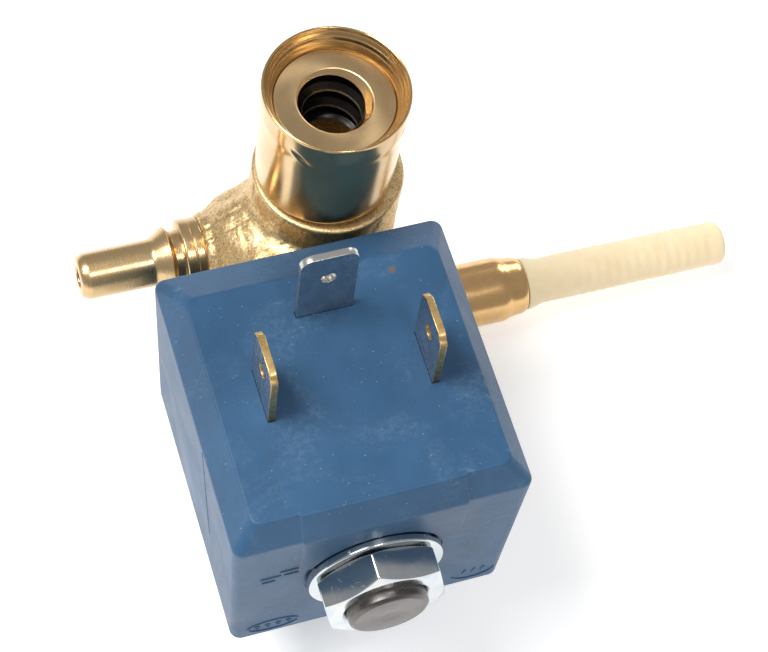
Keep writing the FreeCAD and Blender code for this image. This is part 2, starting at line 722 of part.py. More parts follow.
# ---- regulator ---------------------------------------------------------------------------
def regulator_gland():
    hex_start = REG_BLOCK_RIGHT + 0.02
    hex_end = hex_start + GLAND_HEX_LENGTH
    profile = [
        (GLAND_START, NEEDLE_THREAD_R + RUNNING_GAP),
        (GLAND_START, REG_THREAD_R),
        (hex_start, REG_THREAD_R),
        (hex_end, REG_THREAD_R),
        (hex_end, GLAND_R),
        (GLAND_SHOULDER - 0.5, GLAND_R),
        (GLAND_SHOULDER, GLAND_NOSE_R + 0.15),
        (GLAND_NOSE - 0.5, GLAND_NOSE_R),
        (GLAND_NOSE, GLAND_NOSE_R - 0.35),
        (GLAND_NOSE, SPINDLE_R + RUNNING_GAP),
        (CLIP_ROOM_END, SPINDLE_R + RUNNING_GAP),
        (CLIP_ROOM_END, CLIP_ROOM_R),
        (CLIP_ROOM_START, CLIP_ROOM_R),
        (CLIP_ROOM_START, NEEDLE_THREAD_R + RUNNING_GAP),
    ]
    sleeve = turned_x(profile, REG_Y, REG_Z)
    hex_face = hexagon(GLAND_HEX_AF, vec(hex_start, REG_Y, REG_Z), X_AXIS, Z_AXIS)
    hex_nut = hex_face.extrude(vec(GLAND_HEX_LENGTH, 0, 0)).cut(
        cyl_x(REG_THREAD_R, hex_start - 1, hex_end + 1, REG_Y, REG_Z)
    )
    return sleeve.fuse(hex_nut).removeSplitter()


def spindle_profile():
    """Outline of the spindle: seal and clip grooves, flare outside the gland, ribs, round tip."""
    clip_end = CLIP_X + CLIP_THICKNESS
    points = [
        (SPINDLE_INNER_END, 0),
        (SPINDLE_INNER_END, SPINDLE_R - 0.3),
        (SPINDLE_INNER_END + 0.3, SPINDLE_R),
        (CLIP_X, SPINDLE_R),
        (CLIP_X, CLIP_GROOVE_R),
        (clip_end, CLIP_GROOVE_R),
        (clip_end, SPINDLE_R),
        (O_RING_X - 0.5, SPINDLE_R),
        (O_RING_X - 0.5, O_RING_R - O_RING_SECTION_R - 0.02),
        (O_RING_X + 0.5, O_RING_R - O_RING_SECTION_R - 0.02),
        (O_RING_X + 0.5, SPINDLE_R),
        (GLAND_NOSE + 0.1, SPINDLE_R),
        (GLAND_NOSE + 0.1, SPINDLE_FLARE_R),
        (GLAND_NOSE + 0.5, SPINDLE_FLARE_R),
        (GLAND_NOSE + 2.2, SPINDLE_R),
    ]
    rib_count = int((SPINDLE_RIBS_TO - SPINDLE_RIBS_FROM) / SPINDLE_RIB_PITCH)
    for i in range(rib_count):
        x = SPINDLE_RIBS_FROM + i * SPINDLE_RIB_PITCH
        points.append((x, SPINDLE_R))
        points.append((x + SPINDLE_RIB_PITCH / 2, SPINDLE_R - SPINDLE_RIB_DEPTH))
    points.append((SPINDLE_RIBS_FROM + rib_count * SPINDLE_RIB_PITCH, SPINDLE_R))
    for i in range(7):
        angle = math.radians(15 * i)
        along = SPINDLE_TIP - SPINDLE_TIP_ROUND + SPINDLE_TIP_ROUND * math.sin(angle)
        points.append((along, SPINDLE_R - SPINDLE_TIP_ROUND + SPINDLE_TIP_ROUND * math.cos(angle)))
    points.append((SPINDLE_TIP, 0))
    return points


def regulator_spindle():
    rod = turned_x(spindle_profile(), REG_Y, REG_Z)
    half = SOCKET_SQUARE / 2
    socket = block(SPINDLE_INNER_END - 1, SOCKET_END, REG_Y - half, REG_Y + half, REG_Z - half, REG_Z + half)
    return rod.cut(socket)


def spindle_clip():
    """Open retaining ring in the spindle's groove."""
    ring = cyl_x(CLIP_ROOM_R - 0.15, CLIP_X + 0.05, CLIP_X + CLIP_THICKNESS - 0.05, REG_Y, REG_Z)
    ring = ring.cut(cyl_x(CLIP_GROOVE_R + PRESS_GAP, CLIP_X - 1, CLIP_X + 2, REG_Y, REG_Z))
    return ring.cut(block(CLIP_X - 1, CLIP_X + 2, REG_Y - 0.8, REG_Y + 0.8, REG_Z - 5, REG_Z))


def spindle_o_ring():
    return Part.makeTorus(O_RING_R, O_RING_SECTION_R, vec(O_RING_X, REG_Y, REG_Z), X_AXIS)


def regulator_needle():
    profile = [
        (NEEDLE_TIP, 0),
        (NEEDLE_TIP, 0.5),
        (2.0, NEEDLE_R - 0.1),
        (2.6, NEEDLE_R),
        (7.0, NEEDLE_R),
        (7.4, NEEDLE_THREAD_R),
        (NEEDLE_END - 0.4, NEEDLE_THREAD_R),
        (NEEDLE_END, 1.5),
        (NEEDLE_END, 0),
    ]
    needle = turned_x(profile, REG_Y, REG_Z)
    half = NEEDLE_SQUARE / 2
    drive = block(NEEDLE_END - 0.4, NEEDLE_DRIVE_END, REG_Y - half, REG_Y + half, REG_Z - half, REG_Z + half)
    return needle.fuse(drive).removeSplitter()


# ---- build -------------------------------------------------------------------------------
PARTS = {
    "valve_body": valve_body,
    "riser_plug": riser_plug,
    "seat_plug": seat_plug,
    "port_collar": port_collar,
    "port_insert": port_insert,
    "port_gasket": port_gasket,
    "outlet_barb": outlet_barb,
    "seat_nozzle": seat_nozzle,
    "armature_tube": armature_tube,
    "tube_gasket": tube_gasket,
    "tube_retainer": tube_retainer,
    "fixed_core": fixed_core,
    "shading_ring": shading_ring,
    "plunger": plunger,
    "plunger_seal": plunger_seal,
    "plunger_spring": plunger_spring,
    "coil_washer": coil_washer,
    "coil_nut": coil_nut,
    "coil_housing": coil_housing,
    "coil_bobbin": coil_bobbin,
    "coil_winding": coil_winding,
    "yoke_frame": yoke_frame,
    "flux_bushes": flux_bushes,
    "earth_tab": earth_tab,
    "line_tab_left": lambda: line_tab(-1),
    "line_tab_right": lambda: line_tab(1),
    "winding_leads": winding_leads,
    "regulator_gland": regulator_gland,
    "regulator_spindle": regulator_spindle,
    "spindle_clip": spindle_clip,
    "spindle_o_ring": spindle_o_ring,
    "regulator_needle": regulator_needle,
}

os.makedirs("parts", exist_ok=True)
for name, make in PARTS.items():
    shape = make()
    shape.exportStep(f"parts/{name}.step")
    print(f"{name}: {len(shape.Solids)} solid(s), {shape.Volume:.1f} mm3, valid {shape.isValid()}")
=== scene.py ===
import json
import math

import bmesh
import bpy
import numpy as np
from mathutils import Matrix, Vector, noise

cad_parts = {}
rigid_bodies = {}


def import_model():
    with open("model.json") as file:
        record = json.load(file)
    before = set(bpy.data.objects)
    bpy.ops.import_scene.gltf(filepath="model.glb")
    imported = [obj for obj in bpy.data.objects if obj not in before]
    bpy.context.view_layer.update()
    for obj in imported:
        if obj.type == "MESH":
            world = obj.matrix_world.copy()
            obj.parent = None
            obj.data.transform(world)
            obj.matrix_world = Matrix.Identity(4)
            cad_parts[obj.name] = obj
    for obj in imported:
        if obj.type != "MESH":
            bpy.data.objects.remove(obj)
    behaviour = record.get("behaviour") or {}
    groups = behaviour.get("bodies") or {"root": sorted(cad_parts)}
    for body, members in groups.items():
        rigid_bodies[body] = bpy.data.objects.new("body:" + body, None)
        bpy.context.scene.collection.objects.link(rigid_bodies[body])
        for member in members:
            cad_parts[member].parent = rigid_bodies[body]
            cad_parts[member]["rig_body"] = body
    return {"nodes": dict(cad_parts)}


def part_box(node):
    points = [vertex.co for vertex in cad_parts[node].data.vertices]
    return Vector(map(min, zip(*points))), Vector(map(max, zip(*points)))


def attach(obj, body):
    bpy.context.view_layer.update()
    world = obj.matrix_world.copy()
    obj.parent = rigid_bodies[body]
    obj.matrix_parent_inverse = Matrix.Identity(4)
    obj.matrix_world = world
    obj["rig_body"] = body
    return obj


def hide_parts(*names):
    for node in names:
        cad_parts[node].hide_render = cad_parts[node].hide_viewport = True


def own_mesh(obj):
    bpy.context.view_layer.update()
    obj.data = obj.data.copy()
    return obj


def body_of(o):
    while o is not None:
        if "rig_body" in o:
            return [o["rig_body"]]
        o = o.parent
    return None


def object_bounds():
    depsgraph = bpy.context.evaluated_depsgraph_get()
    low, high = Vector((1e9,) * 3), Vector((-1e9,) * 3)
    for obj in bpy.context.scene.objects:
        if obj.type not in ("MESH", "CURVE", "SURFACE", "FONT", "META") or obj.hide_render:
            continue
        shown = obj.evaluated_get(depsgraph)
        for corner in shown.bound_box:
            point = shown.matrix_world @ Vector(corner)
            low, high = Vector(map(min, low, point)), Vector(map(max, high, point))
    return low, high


# Steam solenoid valve with a flow regulator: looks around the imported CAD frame.
# Shapes are worked out in millimetres in the CAD frame and scaled to metres when a mesh is made.

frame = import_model()
cad_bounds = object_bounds()

MM = 0.001
X, Y, Z = np.eye(3)


def node_box(node):
    """Lowest and highest corner of a CAD node, in millimetres."""
    low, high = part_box(node)
    return np.array(low) / MM, np.array(high) / MM


# ---- places taken from the frame ---------------------------------------------------------
COLLAR_LOW, COLLAR_HIGH = node_box("port_collar")
INSERT_LOW, INSERT_HIGH = node_box("port_insert")
BARB_LOW, BARB_HIGH = node_box("outlet_barb")
NUT_LOW, NUT_HIGH = node_box("coil_nut")
WASHER_LOW, WASHER_HIGH = node_box("coil_washer")
CORE_LOW, CORE_HIGH = node_box("fixed_core")
HOUSING_LOW, HOUSING_HIGH = node_box("coil_housing")
YOKE_LOW, YOKE_HIGH = node_box("yoke_frame")
GLAND_LOW, GLAND_HIGH = node_box("regulator_gland")
SPINDLE_LOW, SPINDLE_HIGH = node_box("regulator_spindle")
SPRING_LOW, SPRING_HIGH = node_box("plunger_spring")

PLUNGER_AXIS = (CORE_LOW + CORE_HIGH) / 2 * (X + Z)      # point of the plunger axis at y = 0
BARB_AXIS = (BARB_LOW + BARB_HIGH) / 2 * (Y + Z)         # point of the barb axis at x = 0
REGULATOR_AXIS = (GLAND_LOW + GLAND_HIGH) / 2 * (Y + Z)  # point of the regulator axis at x = 0
PORT_AXIS = np.zeros(3)

COIL_TURN = math.radians(-1.8)      # how the coil is clamped, about the plunger axis
COIL_OFFSET = 0.5                   # the moulding sits off the middle of its bore
COIL_HALF_WIDTH = 16.3
COIL_TOP = 14.45
COIL_BOTTOM = -14.45
COIL_SHOULDER = 11.09
PAD_RISE = 0.25
COIL_FRONT = HOUSING_LOW[1] + PAD_RISE
COIL_REAR = HOUSING_HIGH[1]
SIDE_BEVEL = 2.27
FRONT_BEVEL = 1.72
REAR_BEVEL = 4.81
DRAFT = 0.6


# ---- meshes ------------------------------------------------------------------------------
def add_piece(name, vertices, faces, materials, nodes, slot, body=None, face_slots=None):
    """New piece from vertices in millimetres. It stands for the CAD nodes and rides on their body."""
    mesh = bpy.data.meshes.new(name)
    mesh.from_pydata((np.asarray(vertices) * MM).tolist(), [], faces)
    for material in materials:
        mesh.materials.append(material)
    if face_slots is not None:
        mesh.polygons.foreach_set("material_index", face_slots)
    face_outward(mesh)
    return place_mesh(name, mesh, nodes, body)


def face_outward(mesh):
    work = bmesh.new()
    work.from_mesh(mesh)
    bmesh.ops.recalc_face_normals(work, faces=work.faces)
    for face in work.faces:
        face.smooth = True
    work.to_mesh(mesh)
    work.free()


def place_mesh(name, mesh, nodes, body=None, matrix=None):
    piece = bpy.data.objects.new(name, mesh)
    bpy.context.scene.collection.objects.link(piece)
    if matrix is not None:
        piece.matrix_world = matrix
    weighted = piece.modifiers.new("flat faces stay flat", "WEIGHTED_NORMAL")
    weighted.weight = 50
    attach(piece, body or body_of(frame["nodes"][nodes[0]])[0])
    if nodes:
        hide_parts(*nodes)
    return piece


def baked_mesh(work):
    """Final mesh of an object with its modifiers, and the object removed."""
    bpy.context.view_layer.update()
    mesh = bpy.data.meshes.new_from_object(work.evaluated_get(bpy.context.evaluated_depsgraph_get()))
    bpy.data.objects.remove(work)
    return mesh


def soften(points, radius, steps=4, closed=True):
    """Rounds the corners of an outline. A point may carry its own radius as one more number."""
    count = len(points)
    size = min(len(p) for p in points)
    rounded = []
    for i, point in enumerate(points):
        corner = np.array(point[:size], float)
        end_point = not closed and i in (0, count - 1)
        if end_point or (size == 2 and corner[1] < 1e-6):
            rounded.append(corner)
            continue
        own = point[size] if len(point) > size else radius
        before = np.array(points[i - 1][:size], float) - corner
        after = np.array(points[(i + 1) % count][:size], float) - corner
        start = corner + before * min(0.45, own / np.linalg.norm(before))
        end = corner + after * min(0.45, own / np.linalg.norm(after))
        for t in np.linspace(0, 1, steps + 1):
            rounded.append((1 - t) ** 2 * start + 2 * t * (1 - t) * corner + t * t * end)
    return rounded


def densify(points, step, low, high):
    """Adds points where an outline runs between two places along its axis."""
    result = []
    for first, second in zip(points, points[1:] + points[:1]):
        result.append(first)
        first, second = np.array(first, float), np.array(second, float)
        middle = (first[0] + second[0]) / 2
        length = np.linalg.norm(second - first)
        if length > step and low < middle < high and min(first[1], second[1]) > 1e-6:
            for t in np.linspace(0, 1, int(length / step) + 2)[1:-1]:
                result.append(first + (second - first) * t)
    return result


def lathe(profile, origin, axis, up, segments=180, warp=None):
    """Closed turned shape from (distance along the axis, radius) points, with round or warped rings."""
    side = np.cross(axis, up)
    angles = np.arange(segments) * 2 * math.pi / segments
    around = np.cos(angles)[:, None] * up + np.sin(angles)[:, None] * side
    vertices, rings, faces = [], [], []
    for along, radius in profile:
        start = len(vertices)
        if radius < 1e-6:
            vertices.append(origin + axis * along)
            rings.append([start])
            continue
        radii = np.full(segments, radius)
        if warp:
            radii = warp(along, radii, angles)
        vertices.extend(origin + axis * along + around * radii[:, None])
        rings.append(list(range(start, start + segments)))
    for first, second in zip(rings, rings[1:] + rings[:1]):
        if len(first) == 1 and len(second) == 1:
            continue
        for i in range(segments):
            j = (i + 1) % segments
            if len(first) == 1:
                faces.append((first[0], second[i], second[j]))
            elif len(second) == 1:
                faces.append((first[i], second[0], first[j]))
            else:
                faces.append((first[i], second[i], second[j], first[j]))
    return vertices, faces


def sweep(path, radius, sides=10, closed=False):
    """Round wire along a path, with domed ends when it is open."""
    path = np.asarray(path, float)
    tangents = np.gradient(path, axis=0)
    if closed:
        tangents = np.roll(path, -1, axis=0) - np.roll(path, 1, axis=0)
    tangents /= np.linalg.norm(tangents, axis=1)[:, None]
    seed = X if abs(tangents[0][0]) < 0.8 else Z
    normal = np.cross(tangents[0], seed)
    vertices, faces = [], []
    angles = np.arange(sides) * 2 * math.pi / sides
    for i, (point, tangent) in enumerate(zip(path, tangents)):
        normal = normal - tangent * normal.dot(tangent)
        normal /= np.linalg.norm(normal)
        binormal = np.cross(tangent, normal)
        end_share = 0.6 if not closed and i in (0, len(path) - 1) else 1.0
        for angle in angles:
            offset = normal * math.cos(angle) + binormal * math.sin(angle)
            vertices.append(point + offset * radius * end_share)
    rings = len(path)
    for i in range(rings if closed else rings - 1):
        for j in range(sides):
            a, b = i * sides, (i + 1) % rings * sides
            k = (j + 1) % sides
            faces.append((a + j, a + k, b + k, b + j))
    if not closed:
        faces.append(tuple(reversed(range(sides))))
        faces.append(tuple(range((rings - 1) * sides, rings * sides)))
    return vertices, faces


def merge(shapes):
    vertices, faces = [], []
    for more_vertices, more_faces in shapes:
        start = len(vertices)
        vertices.extend(more_vertices)
        faces.extend(tuple(start + i for i in face) for face in more_faces)
    return vertices, faces


def smooth_step(value, low, high):
    t = np.clip((value - low) / (high - low), 0, 1)
    return t * t * (3 - 2 * t)


def polygon_radius(angles, sides, inner_radius, sharpness=60):
    """Radius of a regular polygon with slightly round corners, one corner at angle 0."""
    step = 2 * math.pi / sides
    total = np.zeros_like(angles)
    for i in range(sides):
        facing = np.clip(np.cos(angles - (i + 0.5) * step), 0, 1) / inner_radius
        total += facing**sharpness
    return total ** (-1 / sharpness)


def on_coil(x, y, z):
    """Point of the turned coil, from the middle of the moulding in X and the plunger axis in Z."""
    x = x + COIL_OFFSET
    turned_x = x * math.cos(COIL_TURN) + z * math.sin(COIL_TURN)
    turned_z = z * math.cos(COIL_TURN) - x * math.sin(COIL_TURN)
    return PLUNGER_AXIS + np.array((turned_x, y, turned_z))


# ---- material building blocks ------------------------------------------------------------
def new_material(name):
    material = bpy.data.materials.new(name)
    material.use_nodes = True
    tree = material.node_tree
    tree.nodes.clear()
    output = tree.nodes.new("ShaderNodeOutputMaterial")
    shader = tree.nodes.new("ShaderNodeBsdfPrincipled")
    tree.links.new(shader.outputs[0], output.inputs[0])
    return material, tree, shader


def node(tree, kind, inputs=None, **settings):
    """Adds a shader node. Inputs are numbers, colours or sockets of other nodes."""
    made = tree.nodes.new("ShaderNode" + kind)
    for key, value in settings.items():
        setattr(made, key, value)
    for key, value in (inputs or {}).items():
        if isinstance(value, bpy.types.NodeSocket):
            tree.links.new(value, made.inputs[key])
        else:
            made.inputs[key].default_value = value
    return made


def math_node(tree, operation, first, second=0.0, clamp=False):
    return node(tree, "Math", {0: first, 1: second}, operation=operation, use_clamp=clamp).outputs[0]


def place(tree):
    """Position on the object, in metres."""
    return node(tree, "TexCoord").outputs["Object"]


def stretched(tree, scale):
    return node(tree, "Mapping", {"Vector": place(tree), "Scale": scale}).outputs[0]


def grain(tree, scale, detail=3.0, rough=0.55, vector=None, twist=0.0):
    """Noise value of a size given as repeats per metre."""
    inputs = {"Vector": vector or place(tree), "Scale": scale, "Detail": detail, "Roughness": rough,
              "Distortion": twist}
    return node(tree, "TexNoise", inputs).outputs["Fac"]


def ramp(tree, value, low, high, start=0.0, end=1.0):
    """Maps a value from low..high to start..end, held at both ends."""
    inputs = {"Value": value, "From Min": low, "From Max": high, "To Min": start, "To Max": end}
    return node(tree, "MapRange", inputs, clamp=True).outputs[0]


def blend_colour(tree, factor, first, second, mode="MIX"):
    mix = node(tree, "Mix", {0: factor, 6: first, 7: second}, data_type="RGBA", blend_type=mode)
    return mix.outputs[2]


def colour(red, green, blue):
    return (red, green, blue, 1.0)


def two_tone(tree, value, low, high, first, second):
    """Blends two colours as a value runs from low to high."""
    return blend_colour(tree, ramp(tree, value, low, high), colour(*first), colour(*second))


def finish(material, tree, shader, tone, metallic, roughness, normal):
    """Last links of a material: its colour, how metallic it is, its roughness and its surface."""
    tree.links.new(tone, shader.inputs["Base Color"])
    shader.inputs["Metallic"].default_value = metallic
    tree.links.new(roughness, shader.inputs["Roughness"])
    tree.links.new(normal, shader.inputs["Normal"])
    return material


def bump(tree, height, strength, distance_mm, below=None):
    inputs = {"Height": height, "Strength": strength, "Distance": distance_mm * MM}
    if below is not None:
        inputs["Normal"] = below
    return node(tree, "Bump", inputs).outputs[0]


def along_and_radius(tree, origin, axis):
    """Distances along and from a turning axis, in metres."""
    origin, axis = tuple(origin * MM), tuple(axis)
    shifted = node(tree, "VectorMath", {0: place(tree), 1: origin}, operation="SUBTRACT").outputs[0]
    along = node(tree, "VectorMath", {0: shifted, 1: axis}, operation="DOT_PRODUCT").outputs["Value"]
    crossed = node(tree, "VectorMath", {0: shifted, 1: axis}, operation="CROSS_PRODUCT").outputs[0]
    radius = node(tree, "VectorMath", {0: crossed}, operation="LENGTH").outputs["Value"]
    return along, radius


def tool_marks(tree, origin, axis, per_mm):
    """Fine rings left by turning, on walls and on faces alike."""
    along, radius = along_and_radius(tree, origin, axis)
    total = math_node(tree, "ADD", along, math_node(tree, "MULTIPLY", radius, 1.37))
    count = math_node(tree, "MULTIPLY", total, per_mm / MM)
    inputs = {"W": count, "Scale": 1.0, "Detail": 3.0, "Roughness": 0.6}
    return node(tree, "TexNoise", inputs, noise_dimensions="1D").outputs["Fac"]


def turned_metal(name, base, origin, axis, rough=(0.12, 0.28), marks=0.12, per_mm=9.0, stain=None):
    """Turned metal: rings from the tool, uneven polish, small nicks and a faint stain."""
    material, tree, shader = new_material(name)
    rings = tool_marks(tree, origin, axis, per_mm)
    patches = grain(tree, 260, 4)
    fine = grain(tree, 5200, 2)
    stain = stain or tuple(0.72 * c for c in base)
    tone = blend_colour(tree, ramp(tree, patches, 0.42, 0.72, 0.0, 0.55), colour(*base), colour(*stain))
    tone = blend_colour(tree, ramp(tree, rings, 0.35, 0.7, 0.0, 0.22), tone, colour(*stain))
    ring_share = math_node(tree, "MULTIPLY", rings, 0.45)
    polish = math_node(tree, "ADD", ring_share, math_node(tree, "MULTIPLY", patches, 0.55))
    nicks = ramp(tree, fine, 0.70, 0.8)
    surface = bump(tree, rings, marks, 0.03)
    surface = bump(tree, nicks, 0.25, 0.02, surface)
    return finish(material, tree, shader, tone, 1.0, ramp(tree, polish, 0.3, 0.7, *rough), surface)


def plain_finish(name, first, second, metallic=0.0, rough=(0.35, 0.55), scale=900, bump_mm=0.02):
    """Uneven finish for pieces that sit inside or in shade."""
    material, tree, shader = new_material(name)
    broad = grain(tree, scale / 5, 4)
    fine = grain(tree, scale * 3, 3)
    tone = blend_colour(tree, ramp(tree, broad, 0.3, 0.7), colour(*first), colour(*second))
    roughness = ramp(tree, broad, 0.3, 0.7, *rough)
    return finish(material, tree, shader, tone, metallic, roughness, bump(tree, fine, 0.4, bump_mm))


# ---- materials ---------------------------------------------------------------------------
BRASS = (0.68, 0.49, 0.26)
BRASS_STAIN = (0.50, 0.33, 0.15)


def blue_moulding():
    """Glass-filled blue polymer: cloudy, scuffed pale in patches, finely pitted, one rust speck."""
    material, tree, shader = new_material("blue_moulding")
    cloud = grain(tree, 75, 4, 0.6)
    tone = two_tone(tree, cloud, 0.35, 0.65, (0.021, 0.074, 0.155), (0.030, 0.098, 0.200))
    smudge = grain(tree, 110, 3, 0.5, twist=0.6)
    tone = blend_colour(tree, ramp(tree, smudge, 0.60, 0.75, 0.0, 0.45), tone, colour(0.019, 0.045, 0.085))
    patch = grain(tree, 95, 5, 0.65, twist=1.2)
    speckle = grain(tree, 1500, 6, 0.75)
    scuff = math_node(tree, "MULTIPLY", ramp(tree, patch, 0.50, 0.70), ramp(tree, speckle, 0.42, 0.68))
    tone = blend_colour(tree, math_node(tree, "MULTIPLY", scuff, 0.5), tone, colour(0.13, 0.22, 0.32))
    hairs = grain(tree, 1.0, 4, 0.5, stretched(tree, (420, 1900, 900)), 0.4)
    scratch = math_node(tree, "MULTIPLY", ramp(tree, hairs, 0.66, 0.74), ramp(tree, patch, 0.45, 0.6))
    tone = blend_colour(tree, math_node(tree, "MULTIPLY", scratch, 0.35), tone, colour(0.20, 0.31, 0.43))
    dust = ramp(tree, grain(tree, 3800, 1), 0.76, 0.80)
    tone = blend_colour(tree, math_node(tree, "MULTIPLY", dust, 0.5), tone, colour(0.45, 0.55, 0.65))
    speck_place = tuple(on_coil(8.5, COIL_FRONT + 26.7, COIL_TOP) * MM)
    away = node(tree, "VectorMath", {0: place(tree), 1: speck_place}, operation="DISTANCE").outputs["Value"]
    ragged = math_node(tree, "ADD", away, math_node(tree, "MULTIPLY", speckle, 0.9 * MM))
    rust = ramp(tree, ragged, 0.65 * MM, 1.0 * MM, 0.75, 0.0)
    tone = blend_colour(tree, rust, tone, colour(0.16, 0.09, 0.05))
    tree.links.new(tone, shader.inputs["Base Color"])
    shader.inputs["Specular IOR Level"].default_value = 0.35
    tree.links.new(ramp(tree, patch, 0.3, 0.7, 0.36, 0.52), shader.inputs["Roughness"])
    pits = ramp(tree, grain(tree, 2600, 3, 0.6), 0.3, 0.7)
    surface = bump(tree, cloud, 0.25, 0.25)
    surface = bump(tree, pits, 0.22, 0.05, surface)
    tree.links.new(surface, shader.inputs["Normal"])
    return material


def forged_brass():
    """Sandy skin of the hot forging, for the body whose mesh carries the two trimmed edges of the parting
    line.
    """
    material, tree, shader = new_material("forged_brass")
    sand = grain(tree, 4200, 4, 0.65)
    mottle = grain(tree, 700, 4, 0.6)
    tone = two_tone(tree, sand, 0.36, 0.62, (0.40, 0.26, 0.11), (0.82, 0.60, 0.31))
    tone = blend_colour(tree, ramp(tree, mottle, 0.5, 0.72, 0.0, 0.6), tone, colour(0.86, 0.69, 0.42))
    surface = bump(tree, mottle, 0.35, 0.12)
    surface = bump(tree, sand, 0.55, 0.07, surface)
    return finish(material, tree, shader, tone, 1.0, ramp(tree, sand, 0.3, 0.7, 0.48, 0.34), surface)


def disc_brass():
    """Faced disc: circular tool marks stretch every highlight into rays from the middle."""
    material, tree, shader = new_material("disc_brass")
    rings = tool_marks(tree, PORT_AXIS, Z, 12.0)
    patches = grain(tree, 300, 3)
    share = ramp(tree, patches, 0.4, 0.7, 0.0, 0.5)
    tone = blend_colour(tree, share, colour(0.66, 0.46, 0.24), colour(0.50, 0.34, 0.17))
    tree.links.new(tone, shader.inputs["Base Color"])
    shader.inputs["Metallic"].default_value = 1.0
    shader.inputs["Anisotropic"].default_value = 0.75
    around = node(tree, "Tangent", direction_type="RADIAL", axis="Z").outputs[0]
    tree.links.new(around, shader.inputs["Tangent"])
    tree.links.new(ramp(tree, rings, 0.3, 0.7, 0.26, 0.36), shader.inputs["Roughness"])
    tree.links.new(bump(tree, rings, 0.12, 0.03), shader.inputs["Normal"])
    return material


def thread_brass():
    """Inside of the port: painted shade, dim brass on the crests darkening to near black deep in the thread
    grooves.
    """
    material, tree, shader = new_material("thread_brass")
    radius = along_and_radius(tree, PORT_AXIS, Z)[1]
    unevenness = grain(tree, 900, 4)
    # Painted shade: the farther a point lies into a thread groove, the nearer its colour runs to black;
    # noise makes the edge uneven.
    depth = math_node(tree, "ADD", radius, math_node(tree, "MULTIPLY", unevenness, 0.16 * MM))
    tone = two_tone(tree, depth, 3.40 * MM, 3.52 * MM, (0.36, 0.28, 0.19), (0.012, 0.010, 0.008))
    roughness = ramp(tree, unevenness, 0.3, 0.7, 0.22, 0.4)
    return finish(material, tree, shader, tone, 0.8, roughness, bump(tree, unevenness, 0.3, 0.05))


def zinc_plate():
    """Bright zinc: faint blue and straw tints, fine scratches and handling marks."""
    material, tree, shader = new_material("zinc_plate")
    tint = grain(tree, 320, 3)
    tone = two_tone(tree, tint, 0.35, 0.65, (0.52, 0.57, 0.61), (0.62, 0.64, 0.62))
    scratch = ramp(tree, grain(tree, 1.0, 5, 0.6, stretched(tree, (2600, 1500, 600)), 0.8), 0.62, 0.74)
    tone = blend_colour(tree, math_node(tree, "MULTIPLY", scratch, 0.35), tone, colour(0.94, 0.94, 0.94))
    surface = bump(tree, scratch, 0.25, 0.02)
    surface = bump(tree, grain(tree, 900, 2), 0.12, 0.05, surface)
    return finish(material, tree, shader, tone, 1.0, ramp(tree, scratch, 0.0, 1.0, 0.15, 0.38), surface)


def tinned_face():
    material, tree, shader = new_material("tinned_face")
    cloud = grain(tree, 500, 4)
    tone = two_tone(tree, cloud, 0.35, 0.7, (0.42, 0.44, 0.46), (0.58, 0.59, 0.60))
    rolled = grain(tree, 1.0, 4, 0.5, stretched(tree, (3800, 3800, 260)))
    roughness = ramp(tree, rolled, 0.3, 0.7, 0.16, 0.30)
    return finish(material, tree, shader, tone, 1.0, roughness, bump(tree, rolled, 0.2, 0.02))


def cut_brass():
    """Sheared edge of a terminal blade: bright brass with a torn, browner half."""
    material, tree, shader = new_material("cut_brass")
    torn = grain(tree, 1700, 4, 0.6)
    tone = two_tone(tree, torn, 0.4, 0.65, (0.80, 0.56, 0.24), (0.45, 0.28, 0.11))
    roughness = ramp(tree, torn, 0.3, 0.7, 0.28, 0.45)
    return finish(material, tree, shader, tone, 1.0, roughness, bump(tree, torn, 0.4, 0.04))


def natural_polymer():
    """Unpigmented engineering plastic: warm, slightly translucent, faintly mottled."""
    material, tree, shader = new_material("natural_polymer")
    mottle = grain(tree, 420, 4, 0.6)
    tone = two_tone(tree, mottle, 0.3, 0.7, (0.87, 0.71, 0.45), (0.91, 0.77, 0.52))
    tree.links.new(tone, shader.inputs["Base Color"])
    shader.inputs["Subsurface Weight"].default_value = 0.65
    shader.inputs["Subsurface Radius"].default_value = (1.0, 0.62, 0.32)
    shader.inputs["Subsurface Scale"].default_value = 1.4 * MM
    tree.links.new(ramp(tree, mottle, 0.3, 0.7, 0.42, 0.55), shader.inputs["Roughness"])
    tree.links.new(bump(tree, grain(tree, 2600, 3), 0.08, 0.03), shader.inputs["Normal"])
    return material


def copper_layers():
    """Enamelled wire wound in close turns along the plunger axis."""
    material, tree, shader = new_material("copper_layers")
    along, radius = along_and_radius(tree, PLUNGER_AXIS, Y)
    turns = math_node(tree, "SINE", math_node(tree, "MULTIPLY", along, 2 * math.pi / (0.2 * MM)))
    lacquer = grain(tree, 600, 3)
    tone = two_tone(tree, lacquer, 0.3, 0.7, (0.60, 0.22, 0.09), (0.78, 0.36, 0.16))
    shader.inputs["Coat Weight"].default_value = 0.5
    roughness = ramp(tree, radius, 6 * MM, 11 * MM, 0.25, 0.35)
    return finish(material, tree, shader, tone, 0.9, roughness, bump(tree, turns, 0.8, 0.05))


